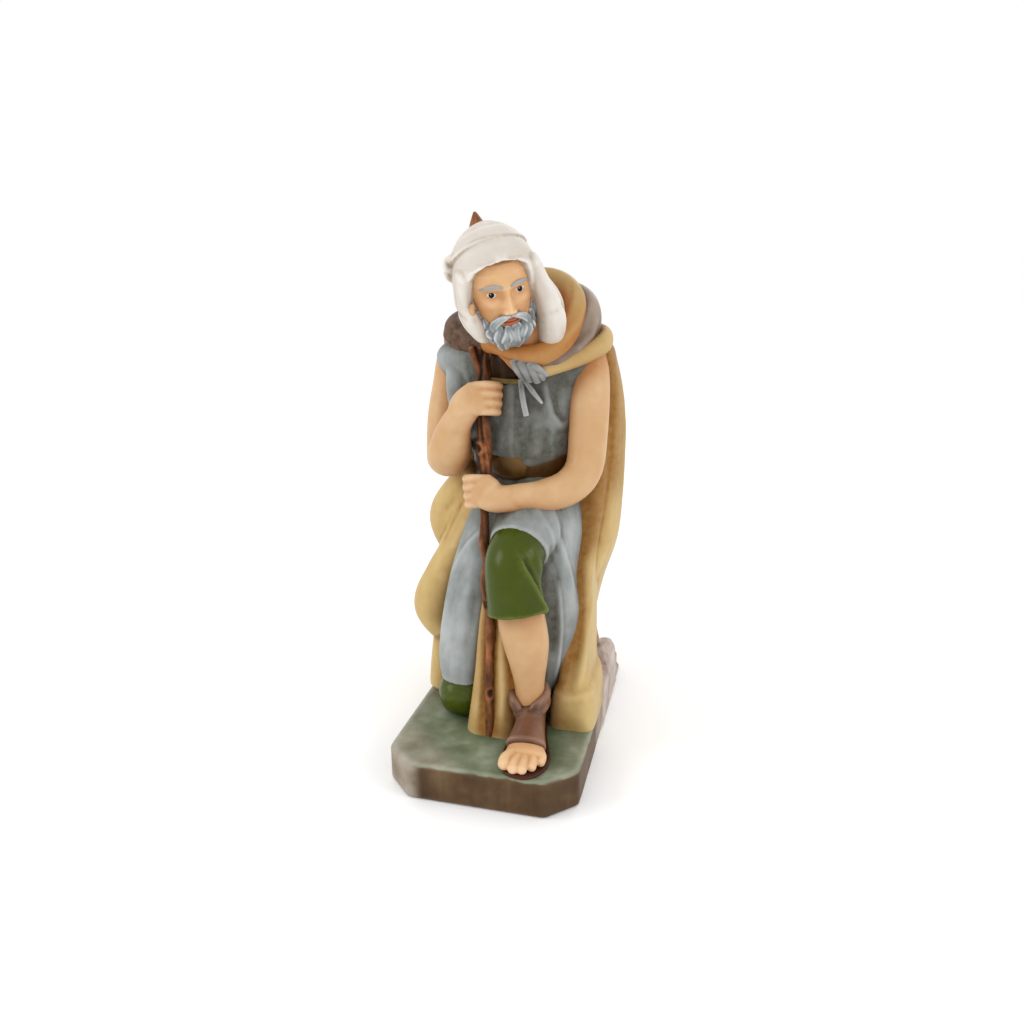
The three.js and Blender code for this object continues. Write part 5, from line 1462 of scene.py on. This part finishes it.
# The broad belt with the flap of its pouch, painted as leather, and the cloak's tie of pleated
# grey cloth with its two ends. Both are modelled on the tunic of the casting.
belt_paint = paint(
    "belt paint", (118, 84, 36), (56, 32, 8), (140, 108, 62), wash_and_shade_amount=0.9, dry_brush_and_highlight_amount=0.5,
    patchiness=0.5, gloss=0.33,
)
tie_paint = paint("tie paint", (154, 155, 154), (76, 72, 62), (196, 196, 200), wash_and_shade_amount=0.9)
TIE_PLEATS = [
    [[0.9, -14.2, 143.9, 1.5, 0.8], [2.7, -13.8, 140.1, 1.6, 1.1], [4.2, -11.6, 136.8, 1.2, 0.9]],
    [[3.9, -14.6, 143.6, 1.9, 0.9], [6.0, -14.2, 139.9, 1.95, 1.2], [7.0, -11.8, 136.4, 1.6, 1.1]],
    [[7.0, -14.8, 142.8, 1.7, 0.9], [9.0, -14.2, 139.4, 1.85, 1.2], [9.7, -12.0, 136.2, 1.5, 1.1]],
    [[7.6, -14.8, 143.0, 1.2, 0.8], [10.6, -14.8, 141.2, 1.6, 1.0], [13.2, -13.2, 138.8, 1.4, 0.9]],
    [[10.0, -14.2, 140.6, 1.3, 0.9], [11.4, -13.8, 138.9, 1.4, 1.0], [11.8, -12.2, 137.2, 1.2, 0.9]],
]
TIE_ENDS = [
    (0.2, [[2.6, -9.6, 136.2, 1.0, 0.7], [3.7, -10.2, 128.6, 1.15, 0.55], [5.2, -10.6, 122.4, 1.15, 0.5]]),
    (0.3, [[4.6, -10.0, 135.8, 0.9, 0.7], [7.6, -9.8, 131.7, 1.0, 0.55], [11.1, -9.2, 127.3, 0.55, 0.45]]),
]
belt_band = drape([
    [96.4, 0, 8, 19.4, 21.4, 16.6, 15], [97, 0, 8, 20.4, 22.4, 17.6, 16],
    [106, 0, 8, 20.6, 22.6, 17.8, 16], [106.8, 0, 8, 19.4, 21.4, 16.6, 15],
])
pouch_flap = limb([
    [-8, -9.0, 101.6, 1.4, 3.4], [-4.5, -9.8, 101.6, 1.9, 4.7], [0.5, -10.2, 101.2, 1.9, 4.7],
    [4, -9.6, 100.6, 1.4, 3.2],
], across=(0, 1, 0))
piece("belt", joined([belt_band, pouch_flap]), belt_paint, voxel=0.65)
piece("tie", joined([
    *(limb(rows) for rows in TIE_PLEATS), *(limb(rows, square=3, dome=dome) for dome, rows in TIE_ENDS),
]), tie_paint, voxel=0.26, smooth=2)

# The left foot in its sandal, cast with the base: bare toes on a dark sole, a brown upper painted
# as leather, and a collar of two rolls open in front.
sandal_paint = paint(
    "sandal paint", (128, 86, 61), (58, 28, 14), (172, 134, 110), wash_and_shade_amount=0.9,
    dry_brush_and_highlight_amount=0.5, patchiness=0.6, gloss=0.3, varnish=0.4,
)
sole_paint = paint("sole paint", (62, 24, 14), (30, 8, 4), (104, 60, 42), gloss=0.35, shine=0.1)
SANDAL_COLLARS = [
    [[12.7, -42.2, 10.6, 1.4, 1.6], [16.8, -40, 13.8, 1.9, 2.5], [19.2, -34.6, 16, 1.9, 2.6],
     [17.2, -28.4, 16.4, 1.9, 2.6], [12.4, -26.4, 16.4, 1.9, 2.6], [7.6, -28.4, 16.4, 1.9, 2.6],
     [5.6, -34.6, 15.8, 2, 2.6], [8.2, -40, 13.8, 2, 2.5]],
    [[12.9, -43.4, 8.6, 1.0, 1.2], [18, -40.4, 11.6, 1.5, 2.2], [19.6, -34, 13.6, 1.6, 2.6],
     [17, -28, 14, 1.6, 2.6], [12.4, -26, 14, 1.6, 2.6], [8.4, -28, 14, 1.6, 2.6],
     [7.2, -34, 13.6, 1.6, 2.6], [8.8, -40.6, 11.6, 1.5, 2.2]],
]
TOES = ((10.4, -65, 2.5), (14, -66.6, 2.1), (17.2, -66.2, 2), (20.2, -63.6, 1.9), (22.8, -59.8, 1.8))
upper = limb([
    [13, -27, 5, 5.4, 5.5], [13.8, -35, 8, 5.6, 7.4], [15.2, -45, 6.4, 6.1, 5.8], [15.7, -53, 4.6, 7.8, 4.5],
], dome=0.35, square=2.3)
sandal_shade = stain_and_shade_along([
    [1.0, 1.0, (7, -42, 16), (12.4, -43.6, 9.4), (17.6, -42, 16)],
    [2.2, 0.7, (12.9, -44.6, 6.6), (13.2, -46, 9)],
    [2.0, 0.5, (8, -44, 6), (9, -50, 4)],
])
sole = limb([
    [12, -26, 0.4, 6.6, 1.3], [13.5, -40, 0.4, 7.8, 1.3], [16.4, -57, 0.4, 9.4, 1.3],
    [15.6, -65.5, 0.4, 6.2, 1.3],
], dome=2.2)
sandal = joined([upper, *(roll(rows) for rows in SANDAL_COLLARS)])
piece("sandal", sandal, sandal_paint, voxel=0.5, smooth=2, stain_and_painted_light=sandal_shade)
piece("sole", sole, sole_paint, voxel=0.55)
toes = [limb([[15.4, -48, 4, 5.6, 3.6], [16.4, -58, 3.4, 8, 3]])]
for x, y, radius in TOES:
    toes.append(limb([
        [x * 0.5 + 8.2, y + 9, 3.6, radius, radius], [x, y + 3, radius + 1.6, radius * 0.92, radius * 0.92],
        [x, y, radius + 0.8, radius, radius * 0.95],
    ]))
piece("toes", joined(toes), face_paint, voxel=0.4)

# The dark wash, which also paints the shade, gathers wherever two pieces of the casting meet or
# a fold closes in. How enclosed each point is goes on every mesh, for its paint to read, once
# all of them are made.
CELL, MARGIN, BLURS = 1.6, 12, 2
OPEN_AMOUNT, ENCLOSED_MORE = 0.17, 0.2


def crevices(pieces, reach=3, outward=2.2):
    """Marks how enclosed each point is: the amount of painted surface found in a blurred grid of
    cells a little way out along its normal, next to what an open surface shows there."""
    points = [read_points(body.data) * MILLIMETRES for body in pieces]
    every = np.concatenate(points)
    facing = np.concatenate([read_points(body.data, "normal") for body in pieces])
    corner = every.min(0) - MARGIN * CELL
    counts = tuple(np.ceil((every.max(0) + MARGIN * CELL - corner) / CELL).astype(int))
    cells = np.zeros(counts)
    index = np.floor((every - corner) / CELL).astype(int)
    cells[tuple(index.T)] = 1
    for _ in range(BLURS):
        for axis in range(3):
            total = sum(np.roll(cells, step, axis) for step in range(-reach, reach + 1))
            cells = total / (2 * reach + 1)
    at = (every + facing * outward - corner) / CELL - 0.5
    low_cell = np.clip(np.floor(at).astype(int), 0, np.array(counts) - 2)
    part = np.clip(at - low_cell, 0, 1)
    found = np.zeros(len(every))
    for step in np.ndindex(2, 2, 2):
        weight = np.prod(np.where(step, part, 1 - part), -1)
        found += weight * cells[tuple((low_cell + step).T)]
    enclosed = ramp(found, OPEN_AMOUNT, ENCLOSED_MORE)
    starts = np.cumsum([len(p) for p in points])[:-1]
    for body, values in zip(pieces, np.split(enclosed, starts)):
        mark(body.data, "crevice", values)


crevices(made)
